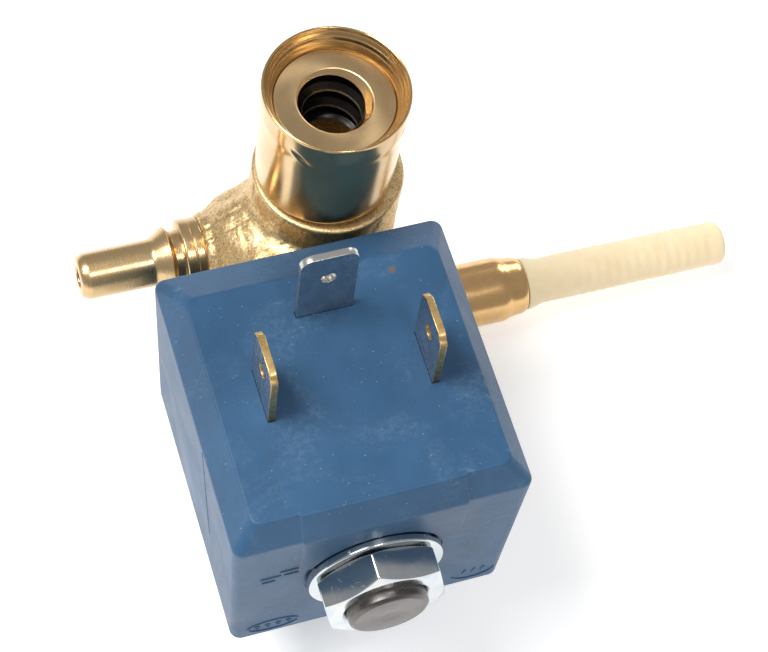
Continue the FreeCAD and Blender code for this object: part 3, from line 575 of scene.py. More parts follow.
BLUE = blue_moulding()
FORGED = forged_brass()
ZINC = zinc_plate()
TINNED = tinned_face()
CUT_EDGE = cut_brass()
WORN_TIN = plain_finish("worn_tin_edge", (0.62, 0.62, 0.60), (0.46, 0.44, 0.38), 1.0, (0.22, 0.36))
POLYMER = natural_polymer()
COPPER = copper_layers()
PORT_BRASS = turned_metal("port_brass", BRASS, PORT_AXIS, Z, (0.12, 0.22), 0.12, 7.0, BRASS_STAIN)
DISC_BRASS = disc_brass()
THREAD_BRASS = thread_brass()
BARB_BRASS = turned_metal("barb_brass", BRASS, BARB_AXIS, X, (0.20, 0.36), 0.30, 9.0, BRASS_STAIN)
GLAND_BRASS = turned_metal("gland_brass", (0.80, 0.50, 0.22), REGULATOR_AXIS, X, (0.16, 0.30), 0.16, 8.0,
                           BRASS_STAIN)
INNER_BRASS = turned_metal("inner_brass", BRASS, PLUNGER_AXIS, Y, (0.15, 0.3), 0.15, 9.0, BRASS_STAIN)
STUD_STEEL = turned_metal("stud_steel", (0.15, 0.138, 0.132), PLUNGER_AXIS, Y, (0.24, 0.40), 0.3, 6.0,
                          (0.09, 0.08, 0.075))
TUBE_STEEL = turned_metal("tube_steel", (0.62, 0.61, 0.60), PLUNGER_AXIS, Y, (0.18, 0.3), 0.12, 8.0,
                          (0.5, 0.49, 0.47))
YOKE_STEEL = plain_finish("yoke_steel", (0.55, 0.56, 0.57), (0.42, 0.42, 0.43), 1.0, (0.3, 0.45))
SPRING_STEEL = plain_finish("spring_steel", (0.62, 0.62, 0.60), (0.5, 0.5, 0.5), 1.0, (0.2, 0.32))
RUBBER = plain_finish("seal_rubber", (0.02, 0.02, 0.022), (0.035, 0.033, 0.032), 0.0, (0.55, 0.75))
RED_SEAL = plain_finish("silicone_seal", (0.22, 0.03, 0.02), (0.30, 0.06, 0.04), 0.0, (0.5, 0.7))
BOBBIN_NYLON = plain_finish("bobbin_nylon", (0.55, 0.50, 0.40), (0.68, 0.62, 0.50), 0.0, (0.45, 0.6))


# ---- boiler port -------------------------------------------------------------------------
THREAD_MINOR_RADIUS = 3.323
THREAD_PITCH = 2.9                  # coarse turns, as they show in the port
THREAD_DEPTH = 0.75
RIM_BAND = 2.8                      # height of the slightly wider band below the rim
DENTS = (                           # angle about the port in degrees, height, half sizes, slant
    (-133.0, 0.2, 0.95, 0.42, 0.75),
    (-42.0, 1.0, 0.55, 0.22, -0.4),
)


def dented(along, radii, angles):
    """Small crescent dents where the collar was gripped."""
    for degrees, height, half_width, half_height, slant in DENTS:
        turn = (angles - math.radians(degrees) + math.pi) % (2 * math.pi) - math.pi
        across = turn * radii
        lift = along - height + slant * across
        inside = np.exp(-((across / half_width) ** 2 + (lift / half_height) ** 2) * 1.6)
        radii = np.where(radii > COLLAR_HIGH[0] - 0.6, radii - 0.22 * inside, radii)
    return radii


def port_collar():
    top, bottom = COLLAR_HIGH[2], COLLAR_LOW[2]
    lip = COLLAR_HIGH[0]
    wall, foot, bore = lip - 0.15, lip - 0.35, INSERT_HIGH[0] + 0.02
    disc_top = INSERT_HIGH[2]
    profile = [
        (bottom, bore), (bottom, foot - 0.75, 0.1), (bottom + 0.22, foot - 0.5, 0.15),
        (bottom + 0.75, foot, 0.3), (top - RIM_BAND - 1.2, wall, 0.9),
        (top - RIM_BAND, lip - 0.02, 0.8), (top - 0.3, lip, 0.1), (top - 0.07, lip - 0.06, 0.06),
        (top, lip - 0.18, 0.06), (top - 0.05, lip - 0.3, 0.06), (top - 0.42, 7.66, 0.1),
        (top - 0.50, 7.58, 0.04), (top - 0.92, 7.36, 0.1), (top - 0.98, 7.28, 0.04),
        (top - 1.40, 7.12, 0.1), (top - 1.46, 7.05, 0.04), (disc_top + 0.3, 6.76, 0.15),
        (disc_top + 0.1, bore + 0.04, 0.06), (disc_top - 0.08, bore, 0.04),
    ]
    profile = densify(soften(profile, 0.1), 0.12, bottom + 1.0, top - 0.4)
    shape = lathe(profile, PORT_AXIS, Z, X, 360, dented)
    return add_piece("port_collar_turned", *shape, [PORT_BRASS], ["port_collar"], "turned_brass")


def port_insert():
    """Disc with a countersunk female thread, cut as a true helix."""
    top, bottom = INSERT_HIGH[2], INSERT_LOW[2]
    outer = INSERT_HIGH[0]
    minor = THREAD_MINOR_RADIUS
    sink = minor + top + 0.02
    corners = [(bottom, outer), (top - 0.1, outer), (top, outer - 0.08), (top, sink + 0.08)]
    face = soften(corners, 0.04, 3, False)
    heights = np.linspace(top - 0.05, bottom, 190)
    profile = face + [(z, minor + max(z, 0.0)) for z in heights]

    def threaded(along, radii, angles):
        if radii[0] > sink + 0.01:
            return radii
        turn = (along / THREAD_PITCH - angles / (2 * math.pi)) % 1.0
        flank = np.clip(np.abs(turn - 0.5) * 4.0 - 0.9, 0, 1)
        fade = smooth_step(along - bottom, 0.0, 0.5)
        return np.maximum(radii, minor + THREAD_DEPTH * (1 - flank) * fade)

    vertices, faces = lathe(profile, PORT_AXIS, Z, X, 180, threaded)
    middles = np.array([np.mean([vertices[i] for i in face], axis=0) for face in faces])
    in_bore = (np.hypot(middles[:, 0], middles[:, 1]) < sink) & (middles[:, 2] < 0.0)
    slots = in_bore.astype(int)
    return add_piece("port_insert_threaded", vertices, faces, [DISC_BRASS, THREAD_BRASS], ["port_insert"],
                     "turned_brass", face_slots=slots)


# ---- forged body -------------------------------------------------------------------------
def outline_distance(points, along, radius):
    """Signed distance to a turned outline given from axis to axis, below zero inside."""
    mirror = [(a, -r) for a, r in reversed(points) if r > 1e-6]
    loop = [np.array(p, float) for p in list(points) + mirror]
    best = np.full(along.shape, 1e9)
    inside = np.zeros(along.shape, bool)
    for first, second in zip(loop, loop[1:] + loop[:1]):
        edge = second - first
        t = np.clip(((along - first[0]) * edge[0] + (radius - first[1]) * edge[1]) / edge.dot(edge), 0, 1)
        gap = np.hypot(along - first[0] - t * edge[0], radius - first[1] - t * edge[1])
        best = np.minimum(best, gap)
        if abs(edge[1]) > 1e-9:
            crosses = (first[1] > radius) != (second[1] > radius)
            inside ^= crosses & (along < first[0] + edge[0] * (radius - first[1]) / edge[1])
    return np.where(inside, -best, best)


def about_axis(points, origin, axis):
    """Distances of points along and from an axis."""
    shifted = points - origin
    along = shifted @ axis
    return along, np.linalg.norm(shifted - np.outer(along, axis), axis=1)


def smooth_union(first, second, width):
    share = np.clip(0.5 + 0.5 * (second - first) / width, 0, 1)
    return second * (1 - share) + first * share - width * share * (1 - share)


SEAT_X = BARB_HIGH[0] - 4.5        # end face of the forging, where the barb's collar sits
DOME_OUTLINE = [
    (SEAT_X, 0),
    (SEAT_X, 4.3),
    (SEAT_X + 0.25, 4.5),
    (SEAT_X + 1.0, 4.62),
    (SEAT_X + 1.8, 5.15),
    (SEAT_X + 2.9, 5.85),
    (SEAT_X + 4.4, 6.45),
    (SEAT_X + 6.2, 6.8),
    (SEAT_X + 10.5, 6.8),
    (0, 5.5),
    (0, 0),
]
NECK_TOP = COLLAR_LOW[2]
NECK_CENTRE = 0.5 * X
NECK_RADIUS = 8.55
NECK_WAIST = PLUNGER_AXIS[2] + 2.5
LEG_CENTRE = np.array((0.6, -2.2, 0))
LEG_RADIUS = 6.3
BOSS_RADIUS = 7.3
BOSS_MOUTH = -9.0
BLOCK_RADIUS = 6.0
BLOCK_LEFT = -7.5
BLOCK_RIGHT = 10.5


def forging_distance(points, blend):
    """Signed distance to the outside of the forging, with its parts blended over a width."""
    neck = [(NECK_TOP, 0), (NECK_TOP, 8.3), (NECK_TOP - 0.3, NECK_RADIUS), (NECK_WAIST, NECK_RADIUS),
            (NECK_WAIST - 7, LEG_RADIUS - 0.5), (NECK_WAIST - 7, 0)]
    foot = REGULATOR_AXIS[2]
    leg = [(NECK_WAIST, 0), (NECK_WAIST, LEG_RADIUS), (foot, LEG_RADIUS), (foot, 0)]
    boss = [(BOSS_MOUTH, 0), (BOSS_MOUTH, BOSS_RADIUS), (0, BOSS_RADIUS), (0.7, BOSS_RADIUS - 0.2),
            (1.2, BOSS_RADIUS - 0.7), (1.4, BOSS_RADIUS - 1.4), (1.4, 0)]
    left = BLOCK_LEFT
    left_end = [(left, 0), (left, 4.9), (left + 0.35, 5.65), (left + 1.1, BLOCK_RADIUS)]
    block = left_end + [(BLOCK_LEFT + BLOCK_RIGHT - x, r) for x, r in reversed(left_end)]
    total = outline_distance(neck, *about_axis(points, NECK_CENTRE, Z))
    for outline, origin, axis in (
        (DOME_OUTLINE, BARB_AXIS, X), (leg, LEG_CENTRE, Z), (boss, PLUNGER_AXIS, Y),
        (block, REGULATOR_AXIS, X),
    ):
        part = outline_distance(outline, *about_axis(points, origin, axis))
        total = smooth_union(total, part, blend)
    return total


def forging_gradient(points, blend):
    step = 0.02
    columns = [
        forging_distance(points + step * axis, blend) - forging_distance(points - step * axis, blend)
        for axis in (X, Y, Z)
    ]
    gradient = np.stack(columns, axis=1) / (2 * step)
    return gradient / np.maximum(np.linalg.norm(gradient, axis=1), 1e-6)[:, None]


PARTING_Y = -0.95                   # middle of the trimmed flash band
PARTING_HALF = 0.8
FILLET_WIDTH = 2.2                  # how far the junctions of the forging blend into each other
VOXEL = 0.26


def forged_body():
    """The CAD body's mesh, resampled, with filleted junctions, a sandy skin and parting edges."""
    work = bpy.data.objects.new("forging_work", frame["nodes"]["valve_body"].data.copy())
    bpy.context.scene.collection.objects.link(work)
    resample = work.modifiers.new("resample", "REMESH")
    resample.mode = "VOXEL"
    resample.voxel_size = VOXEL * MM
    mesh = baked_mesh(work)
    points = np.zeros(len(mesh.vertices) * 3)
    mesh.vertices.foreach_get("co", points)
    points = points.reshape(-1, 3) / MM
    outside = np.abs(forging_distance(points, 0.01)) < 0.3
    moved = points[outside]
    for _ in range(4):
        moved -= forging_gradient(moved, FILLET_WIDTH) * forging_distance(moved, FILLET_WIDTH)[:, None]
    normals = forging_gradient(moved, FILLET_WIDTH)
    broad = np.array([noise.fractal(Vector(p) * 0.55, 0.6, 2.2, 3) for p in moved])
    fine = np.array([noise.noise(Vector(p) * 2.3) for p in moved])
    skin = broad * 0.09 + fine * 0.05
    near_edge = np.abs(np.abs(moved[:, 1] - PARTING_Y) - PARTING_HALF)
    on_band = np.abs(moved[:, 1] - PARTING_Y) < PARTING_HALF
    groove = -0.20 * np.exp(-((near_edge / 0.11) ** 2)) + np.where(on_band, 0.04, 0.0)
    flat_below = smooth_step(-moved[:, 2], -NECK_TOP + 0.2, -NECK_TOP + 0.8)
    shift = skin * flat_below + groove * flat_below * smooth_step(-moved[:, 0], 3.0, 5.5)
    points[outside] = moved + normals * shift[:, None]
    mesh.vertices.foreach_set("co", (points * MM).ravel())
    mesh.materials.clear()
    mesh.materials.append(FORGED)
    mesh.polygons.foreach_set("material_index", np.zeros(len(mesh.polygons), int))
    face_outward(mesh)
    return place_mesh("forged_valve_body", mesh, ["valve_body"])


# ---- outlet barb -------------------------------------------------------------------------
def outlet_barb():
    tip, end = BARB_LOW[0], BARB_HIGH[0]
    seat = SEAT_X - 0.05
    tube, bore, shank, collar, groove, crest = 2.68, 1.3, 2.6, 4.25, 3.14, 3.86
    profile = [
        (end, shank), (seat, shank, 0.05), (seat, collar - 0.15, 0.05), (seat - 0.2, collar, 0.1),
        (seat - 1.05, collar, 0.04), (seat - 1.12, collar - 0.12, 0.04),
        (seat - 1.22, collar - 0.12, 0.04), (seat - 1.30, collar, 0.04), (seat - 2.3, collar, 0.1),
        (seat - 2.45, collar - 0.18, 0.05), (seat - 2.47, groove, 0.08),
        (seat - 3.45, groove, 0.08), (seat - 3.95, crest, 0.06), (seat - 5.8, tube + 0.04, 0.25),
        (tip + 0.75, tube, 0.45), (tip + 0.12, tube - 0.38, 0.2), (tip, tube - 0.62, 0.08),
        (tip, bore + 0.12, 0.05), (tip + 0.15, bore, 0.05), (end, bore),
    ]
    shape = lathe(soften(profile, 0.08), BARB_AXIS, X, Z, 192)
    return add_piece("outlet_barb_turned", *shape, [BARB_BRASS], ["outlet_barb"], "turned_brass")


# ---- coil fastening ----------------------------------------------------------------------
NUT_ACROSS_FLATS = 12.8
NUT_BORE_RADIUS = 4.5
NUT_CHAMFER = math.radians(30)
NUT_TURN = math.radians(12)         # where the tightened nut came to rest
WASHER_BORE_RADIUS = 4.7
STUD_RADIUS = 4.45


def coil_nut():
    """Hexagon nut, chamfered at 30 degrees on both faces, with a countersunk bore."""
    low, high, bore = NUT_LOW[1], NUT_HIGH[1], NUT_BORE_RADIUS
    corner_direction = math.cos(NUT_TURN) * Z - math.sin(NUT_TURN) * X
    flat = NUT_ACROSS_FLATS / 2
    corner = flat * 2 / math.sqrt(3)
    slope = (corner - flat + 0.15) * math.tan(NUT_CHAMFER)
    face_radius = flat - 0.15
    past = corner + 0.3
    outer = [(low, face_radius), (low + slope, past), (high - slope, past), (high, face_radius)]
    inner = [(high, bore + 0.45), (high - 0.42, bore), (low + 0.42, bore), (low, bore + 0.45)]
    profile = densify(soften(outer + inner, 0.06), 0.12, low - 0.1, high + 0.1)

    def cut_flats(along, radii, angles):
        if radii[0] < bore + 0.6:
            return radii
        flats = polygon_radius(angles, 6, flat, 160)
        gap = radii - flats
        return flats + gap - np.logaddexp(0, gap * 22) / 22

    shape = lathe(profile, PLUNGER_AXIS, Y, corner_direction, 360, cut_flats)
    return add_piece("coil_nut_plated", *shape, [ZINC], ["coil_nut"], "plated_steel")


def coil_washer():
    front, rear = WASHER_LOW[1], WASHER_HIGH[1]
    outer = (WASHER_HIGH[0] - WASHER_LOW[0]) / 2
    bore = WASHER_BORE_RADIUS
    profile = [(front, bore), (rear, bore), (rear, outer, 0.2), (front, outer, 0.25)]
    shape = lathe(soften(profile, 0.1), PLUNGER_AXIS, Y, Z, 240)
    return add_piece("coil_washer_plated", *shape, [ZINC], ["coil_washer"], "plated_steel")


def fixed_core():
    """Core with its threaded stud; the visible end is faced with a low step in the middle."""
    end, face = CORE_LOW[1], CORE_HIGH[1]
    stud, slug = STUD_RADIUS, (CORE_HIGH[0] - CORE_LOW[0]) / 2
    step = COIL_FRONT + 2.6
    profile = [
        (face - 0.8, 0), (face - 0.8, 2.7), (face, 2.7), (face, 3.3), (face - 1.0, 3.3),
        (face - 1.0, 4.0), (face, 4.0), (face, slug), (step, slug), (step, stud),
        (end + 0.38, stud, 0.12), (end + 0.02, stud - 0.42, 0.1), (end, 1.5, 0.3),
        (end + 0.05, 0.9, 0.3), (end + 0.05, 0),
    ]
    shape = lathe(soften(profile, 0.05), PLUNGER_AXIS, Y, Z, 192)
    return add_piece("fixed_core_stud", *shape, [STUD_STEEL], ["fixed_core"], "dark_steel")


# ---- coil housing ------------------------------------------------------------------------
PAD_HALF = 9.0
PAD_HEIGHT = 8.0
CORNER_RADIUS = 1.2
RECESS_RADIUS = 7.8
RECESS_DEPTH = 0.4
BROAD_AREA = 20 * MM**2
TUBE_ROOM_RADIUS = 5.35
WINDING_ROOM_RADIUS = 10.5
MAGNET_HALF_X = 7.9
MAGNET_HALF_Z = 12.6
SLOT_GAP = 0.03


def housing_ring(height, side_inset, front_inset, rear_inset):
    """Rounded rectangle at one height, with the pad standing out of its front run."""
    half = COIL_HALF_WIDTH - side_inset
    front, rear = COIL_FRONT + front_inset, COIL_REAR - rear_inset
    r = CORNER_RADIUS
    pad_edges = np.array((-PAD_HALF - 0.12, -PAD_HALF, -PAD_HALF + 0.12))
    spread = np.linspace(-half + r, half - r, 15)
    run = np.unique(np.concatenate((spread, pad_edges, -pad_edges)))
    turn = np.linspace(0, math.pi / 2, 9)
    side_run = np.linspace(front + r, rear - r, 12)[1:-1]
    corners = {
        "front_right": (half - r + r * np.sin(turn), front + r - r * np.cos(turn)),
        "rear_right": (half - r + r * np.cos(turn), rear - r + r * np.sin(turn)),
        "rear_left": (-half + r - r * np.sin(turn), rear - r + r * np.cos(turn)),
        "front_left": (-half + r - r * np.cos(turn), front + r - r * np.sin(turn)),
    }
    above = smooth_step(height, COIL_SHOULDER - PAD_HEIGHT - 0.12, COIL_SHOULDER - PAD_HEIGHT + 0.12)
    pad = above * smooth_step(PAD_HALF + 0.12 - np.abs(run), 0, 0.24) * PAD_RISE
    middle = run[1:-1]
    points = list(zip(middle, front - pad[1:-1]))
    points += list(zip(*corners["front_right"]))
    points += [(half, y) for y in side_run]
    points += list(zip(*corners["rear_right"]))
    points += [(x, rear) for x in middle[::-1]]
    points += list(zip(*corners["rear_left"]))
    points += [(-half, y) for y in side_run[::-1]]
    points += list(zip(*corners["front_left"]))
    return [on_coil(x, y, height) for x, y in points]


def housing_shell():
    wall = COIL_SHOULDER - COIL_BOTTOM

    def wall_stage(height, radius):
        lean = DRAFT * (COIL_SHOULDER - height) / wall
        return (height, lean, lean, 0.0, radius)

    pad_foot = COIL_SHOULDER - PAD_HEIGHT
    stages = [
        (COIL_BOTTOM, DRAFT + 1.0, DRAFT + 1.0, 1.0), (COIL_BOTTOM, DRAFT, DRAFT, 0.0, 0.45),
        wall_stage(pad_foot - 0.15, 0.01),
        wall_stage(pad_foot, 0.01),
        wall_stage(pad_foot + 0.15, 0.01),
        (COIL_SHOULDER, 0.0, 0.0, 0.0, 0.35), (COIL_TOP, SIDE_BEVEL, FRONT_BEVEL, REAR_BEVEL, 0.3),
        (COIL_TOP, SIDE_BEVEL + 1.0, FRONT_BEVEL + 1.0, REAR_BEVEL + 1.0),
    ]
    rings = [housing_ring(*stage) for stage in soften(stages, 0.3, 4, False)]
    count = len(rings[0])
    vertices = [point for ring in rings for point in ring]
    faces = [
        (i * count + j, i * count + (j + 1) % count, (i + 1) * count + (j + 1) % count, (i + 1) * count + j)
        for i in range(len(rings) - 1)
        for j in range(count)
    ]
    faces.append(tuple(reversed(range(count))))
    faces.append(tuple(range((len(rings) - 1) * count, len(rings) * count)))
    return vertices, faces


def coil_brick(half_x, y0, y1, z0, z1, centre_x=0.0):
    """Box of the coil as vertices and faces."""
    corners = ((-1, y0), (1, y0), (1, y1), (-1, y1))
    vertices = [on_coil(centre_x + side * half_x, y, z) for z in (z0, z1) for side, y in corners]
    faces = [(0, 3, 2, 1), (4, 5, 6, 7), (0, 1, 5, 4), (1, 2, 6, 5), (2, 3, 7, 6), (3, 0, 4, 7)]
    return vertices, faces


def drill(radius, y0, y1, segments):
    """Cylinder on the plunger axis as vertices and faces."""
    return lathe([(y0, 0), (y0, radius), (y1, radius), (y1, 0)], PLUNGER_AXIS, Y, Z, segments)


def cut_away(target, shape):
    """Boolean difference of a piece in the making with one closed shape."""
    vertices, faces = shape
    mesh = bpy.data.meshes.new("cutter")
    mesh.from_pydata((np.asarray(vertices) * MM).tolist(), [], faces)
    face_outward(mesh)
    cutter = bpy.data.objects.new("cutter", mesh)
    bpy.context.scene.collection.objects.link(cutter)
    cut = target.modifiers.new("cut", "BOOLEAN")
    cut.operation = "DIFFERENCE"
    cut.solver = "EXACT"
    cut.object = cutter
    final = baked_mesh(target)
    bpy.data.objects.remove(cutter)
    result = bpy.data.objects.new("housing_work", final)
    bpy.context.scene.collection.objects.link(result)
    return result


TAB_THICKNESS = 0.8
TAB_WIDTH = 6.3
EARTH_TAB_Y = (node_box("earth_tab")[0][1] + node_box("earth_tab")[1][1]) / 2
LINE_TAB_Y = (node_box("line_tab_left")[0][1] + node_box("line_tab_left")[1][1]) / 2
LINE_TAB_OFFSET = 8.95
LINE_TAB_ROOT = 10.2
EARTH_TAB_ROOT = 12.6
EARTH_SLOT_FLOOR = 11.6
EARTH_TIP = COIL_TOP + 11.5
LINE_TIP = COIL_TOP + 9.4
TAB_HOLE_RADIUS = 0.85


def flatten_broad_faces(mesh):
    """Shades flat every wall whose faces in one direction add up to a broad plane."""
    areas = {}
    for polygon in mesh.polygons:
        facing = tuple(round(n * 50) for n in polygon.normal)
        areas[facing] = areas.get(facing, 0.0) + polygon.area
    for polygon in mesh.polygons:
        facing = tuple(round(n * 50) for n in polygon.normal)
        polygon.use_smooth = areas[facing] < BROAD_AREA
        polygon.material_index = 0


def coil_housing():
    vertices, faces = housing_shell()
    mesh = bpy.data.meshes.new("housing_work")
    mesh.from_pydata((np.asarray(vertices) * MM).tolist(), [], faces)
    face_outward(mesh)
    work = bpy.data.objects.new("housing_work", mesh)
    bpy.context.scene.collection.objects.link(work)
    room_front, room_rear = YOKE_LOW[1], YOKE_HIGH[1]
    wide, thin = TAB_WIDTH / 2 + SLOT_GAP, TAB_THICKNESS / 2 + SLOT_GAP
    cutters = [
        drill(RECESS_RADIUS, COIL_FRONT - 2, COIL_FRONT + RECESS_DEPTH, 128),
        drill(TUBE_ROOM_RADIUS, COIL_FRONT - 3, COIL_REAR + 3, 64),
        coil_brick(MAGNET_HALF_X, room_front, room_rear, -MAGNET_HALF_Z, MAGNET_HALF_Z, -COIL_OFFSET),
        drill(WINDING_ROOM_RADIUS, room_front + 2, room_rear - 2, 64),
        coil_brick(wide, EARTH_TAB_Y - thin, EARTH_TAB_Y + thin, EARTH_SLOT_FLOOR, COIL_TOP + 1),
    ]
    for side in (-1, 1):
        slot = (thin, LINE_TAB_Y - wide, LINE_TAB_Y + wide, LINE_TAB_ROOT, COIL_TOP + 1)
        cutters.append(coil_brick(*slot, side * LINE_TAB_OFFSET))
    for cutter in cutters:
        work = cut_away(work, cutter)
    round_edges = work.modifiers.new("round cut edges", "BEVEL")
    round_edges.width = 0.1 * MM
    round_edges.segments = 2
    round_edges.limit_method = "ANGLE"
    round_edges.angle_limit = math.radians(50)
    final = baked_mesh(work)
    final.materials.clear()
    final.materials.append(BLUE)
    flatten_broad_faces(final)
    return place_mesh("coil_housing_moulded", final, ["coil_housing"])


def front_point(x, z, proud=0.0):
    """Point on the drafted front wall of the coil."""
    lean = DRAFT * (COIL_SHOULDER - z) / (COIL_SHOULDER - COIL_BOTTOM)
    return on_coil(x, COIL_FRONT + lean - proud, z)


def mould_relief():
    """Plain raised mould marks on the front wall: two bars, a ringed row of dots, an arc with ticks."""
    shapes = []
    for x0, z0, x1, z1 in ((-13.2, 3.0, -10.9, 3.0), (-11.1, 4.0, -8.6, 4.0), (-13.0, 1.9, -11.5, 1.9),
                           (-10.6, 2.9, -8.9, 2.9)):
        path = [front_point(x0 + (x1 - x0) * t, z0 + (z1 - z0) * t) for t in np.linspace(0, 1, 6)]
        shapes.append(sweep(path, 0.14))
    turn = np.linspace(0, 2 * math.pi, 49)[:-1]
    oval = [front_point(-11.1 + 2.9 * math.cos(a), -12.0 + 1.35 * math.sin(a)) for a in turn]
    shapes.append(sweep(oval, 0.12, closed=True))
    for i in range(4):
        centre_x = -12.9 + 1.2 * i
        dot = [front_point(centre_x + 0.28 * math.cos(a), -12.0 + 0.38 * math.sin(a)) for a in turn[::3]]
        shapes.append(sweep(dot, 0.1, closed=True))
    fan = np.linspace(math.radians(200), math.radians(350), 24)
    arc = [front_point(12.2 + 2.6 * math.cos(a), -11.2 + 1.9 * math.sin(a)) for a in fan]
    shapes.append(sweep(arc, 0.12))
    for i in range(3):
        x = 11.0 + 1.1 * i
        tick = [front_point(x + 0.3 * t, -11.6 + 1.1 * t) for t in np.linspace(0, 1, 5)]
        shapes.append(sweep(tick, 0.13))
    return add_piece("mould_relief", *merge(shapes), [BLUE], [], "blue_plastic", "coil")


def flash_line():
    """Thin ragged flash down the left wall, where the mould halves met."""
    path = []
    for t in np.linspace(0, 1, 60):
        height = COIL_SHOULDER - 0.2 - 16.5 * t
        y = COIL_FRONT + 12.6 - 2.6 * t + 0.06 * noise.noise(Vector((0, 3.1, height * 2.2)))
        lean = DRAFT * (COIL_SHOULDER - height) / (COIL_SHOULDER - COIL_BOTTOM)
        inset = 0.06 + 0.05 * noise.noise(Vector((7.7, 0, height * 3.1)))
        path.append(on_coil(-COIL_HALF_WIDTH + lean + inset, y, height))
    return add_piece("mould_flash", *sweep(path, 0.13, 8), [BLUE], [], "blue_plastic", "coil")


# ---- terminal blades ---------------------------------------------------------------------
def blade_outline(width, root, tip, corner, rounded):
    half = width / 2
    if not rounded:
        top = [(half, tip - corner), (half - corner, tip), (corner - half, tip), (-half, tip - corner)]
        return [(-half, root), (half, root)] + top
    arc = np.linspace(0, math.pi / 2, 9)
    right = [(half - corner + corner * math.cos(a), tip - corner + corner * math.sin(a)) for a in arc]
    left = [(-x, z) for x, z in reversed(right)]
    return [(-half, root), (half, root)] + right + left


def add_spline(curve, points):
    spline = curve.splines.new("POLY")
    spline.points.add(len(points) - 1)
    for target, (x, z) in zip(spline.points, points):
        target.co = (x * MM, z * MM, 0, 1)
    spline.use_cyclic_u = True


def terminal(name, node_name, root, tip, corner, rounded, hole_height, matrix, edge_material):
    """Sheet blade with a hole: tinned faces, and its own finish on every cut edge."""
    edge = 0.07
    curve = bpy.data.curves.new(name + "_outline", "CURVE")
    curve.dimensions = "2D"
    curve.fill_mode = "BOTH"
    curve.extrude = (TAB_THICKNESS / 2 - edge) * MM
    curve.bevel_depth = edge * MM
    curve.bevel_resolution = 2
    curve.offset = -edge * MM
    add_spline(curve, blade_outline(TAB_WIDTH, root, tip, corner, rounded))
    turn = np.linspace(0, 2 * math.pi, 33)[:-1]
    hole = [(TAB_HOLE_RADIUS * math.cos(a), hole_height + TAB_HOLE_RADIUS * math.sin(a)) for a in turn]
    add_spline(curve, hole)
    work = bpy.data.objects.new(name + "_work", curve)
    bpy.context.scene.collection.objects.link(work)
    mesh = baked_mesh(work)
    mesh.transform(Matrix.Rotation(math.radians(90), 4, "X"))
    merge_doubles(mesh)
    mesh.materials.clear()
    mesh.materials.append(TINNED)
    mesh.materials.append(edge_material)
    for polygon in mesh.polygons:
        on_face = abs(polygon.normal.y) > 0.95
        polygon.material_index = 0 if on_face else 1
        polygon.use_smooth = not on_face
    return place_mesh(name, mesh, [node_name], matrix=matrix)


def merge_doubles(mesh):
    work = bmesh.new()
    work.from_mesh(mesh)
    bmesh.ops.remove_doubles(work, verts=work.verts, dist=0.002 * MM)
    bmesh.ops.recalc_face_normals(work, faces=work.faces)
    work.to_mesh(mesh)
    work.free()


def coil_matrix(x, y, quarter_turn):
    """Place and direction of a blade on the turned coil."""
    lift = Matrix.Translation(Vector(PLUNGER_AXIS * MM))
    tilt = Matrix.Rotation(COIL_TURN, 4, "Y")
    shift = Matrix.Translation(Vector(((x + COIL_OFFSET) * MM, y * MM, 0)))
    return lift @ tilt @ shift @ Matrix.Rotation(math.radians(90 * quarter_turn), 4, "Z")


def terminals():
    terminal("earth_terminal", "earth_tab", EARTH_TAB_ROOT, EARTH_TIP, 1.4, True, EARTH_TIP - 4.2,
             coil_matrix(0, EARTH_TAB_Y, 0), WORN_TIN)
    for side, node_name in ((-1, "line_tab_left"), (1, "line_tab_right")):
        terminal(node_name + "_blade", node_name, LINE_TAB_ROOT, LINE_TIP, 1.1, False, LINE_TIP - 3.6,
                 coil_matrix(side * LINE_TAB_OFFSET, LINE_TAB_Y, 1), CUT_EDGE)


# ---- regulator ---------------------------------------------------------------------------
GLAND_HEX = (BLOCK_RIGHT + 0.02, BLOCK_RIGHT + 3.02, 10.4)


def regulator_gland():
    start, nose = GLAND_LOW[0], GLAND_HIGH[0]
    thread, wall, running = 3.6, 4.1, 2.92
    hex_start, hex_end, across = GLAND_HEX
    profile = [
        (start, 2.49), (start, thread), (hex_start, thread, 0.05),
        (hex_start, across / 2 - 0.1, 0.05), (hex_start + 0.35, across / 2 + 1.0, 0.05),
        (hex_end - 0.35, across / 2 + 1.0, 0.05), (hex_end, across / 2 - 0.1, 0.05),
        (hex_end, wall + 0.1, 0.1), (hex_end + 0.3, wall, 0.1), (nose - 3.1, wall, 0.6),
        (nose - 2.3, wall - 0.3, 0.5), (nose - 0.6, wall - 0.5, 0.3),
        (nose - 0.1, wall - 0.72, 0.12), (nose, wall - 0.9, 0.05), (nose, running, 0.05),
        (17.0, running), (17.0, 3.4), (13.9, 3.4), (13.9, 2.49),
    ]
    profile = densify(soften(profile, 0.05), 0.15, hex_start, hex_end)

    def cut_flats(along, radii, angles):
        if radii[0] < wall + 0.15 or not hex_start - 0.01 < along < hex_end + 0.01:
            return radii
        return np.minimum(radii, polygon_radius(angles, 6, across / 2, 160))

    shape = lathe(profile, REGULATOR_AXIS, X, Z, 240, cut_flats)
    return add_piece("regulator_gland_turned", *shape, [GLAND_BRASS], ["regulator_gland"], "turned_brass")


SPINDLE_RADIUS = 2.85
SPINDLE_GROOVES = ((16.2, 16.8, 2.3), (20.5, 21.5, 2.1))     # start, end and floor radius: clip, O-ring
RIBS_FROM, RIBS_TO = 35.0, 53.9
RIB_PITCH = 1.35
RIB_DEPTH = 0.075
TIP_ROUND = 0.95
SOCKET_HALF = 1.23
SOCKET_END = 24.5


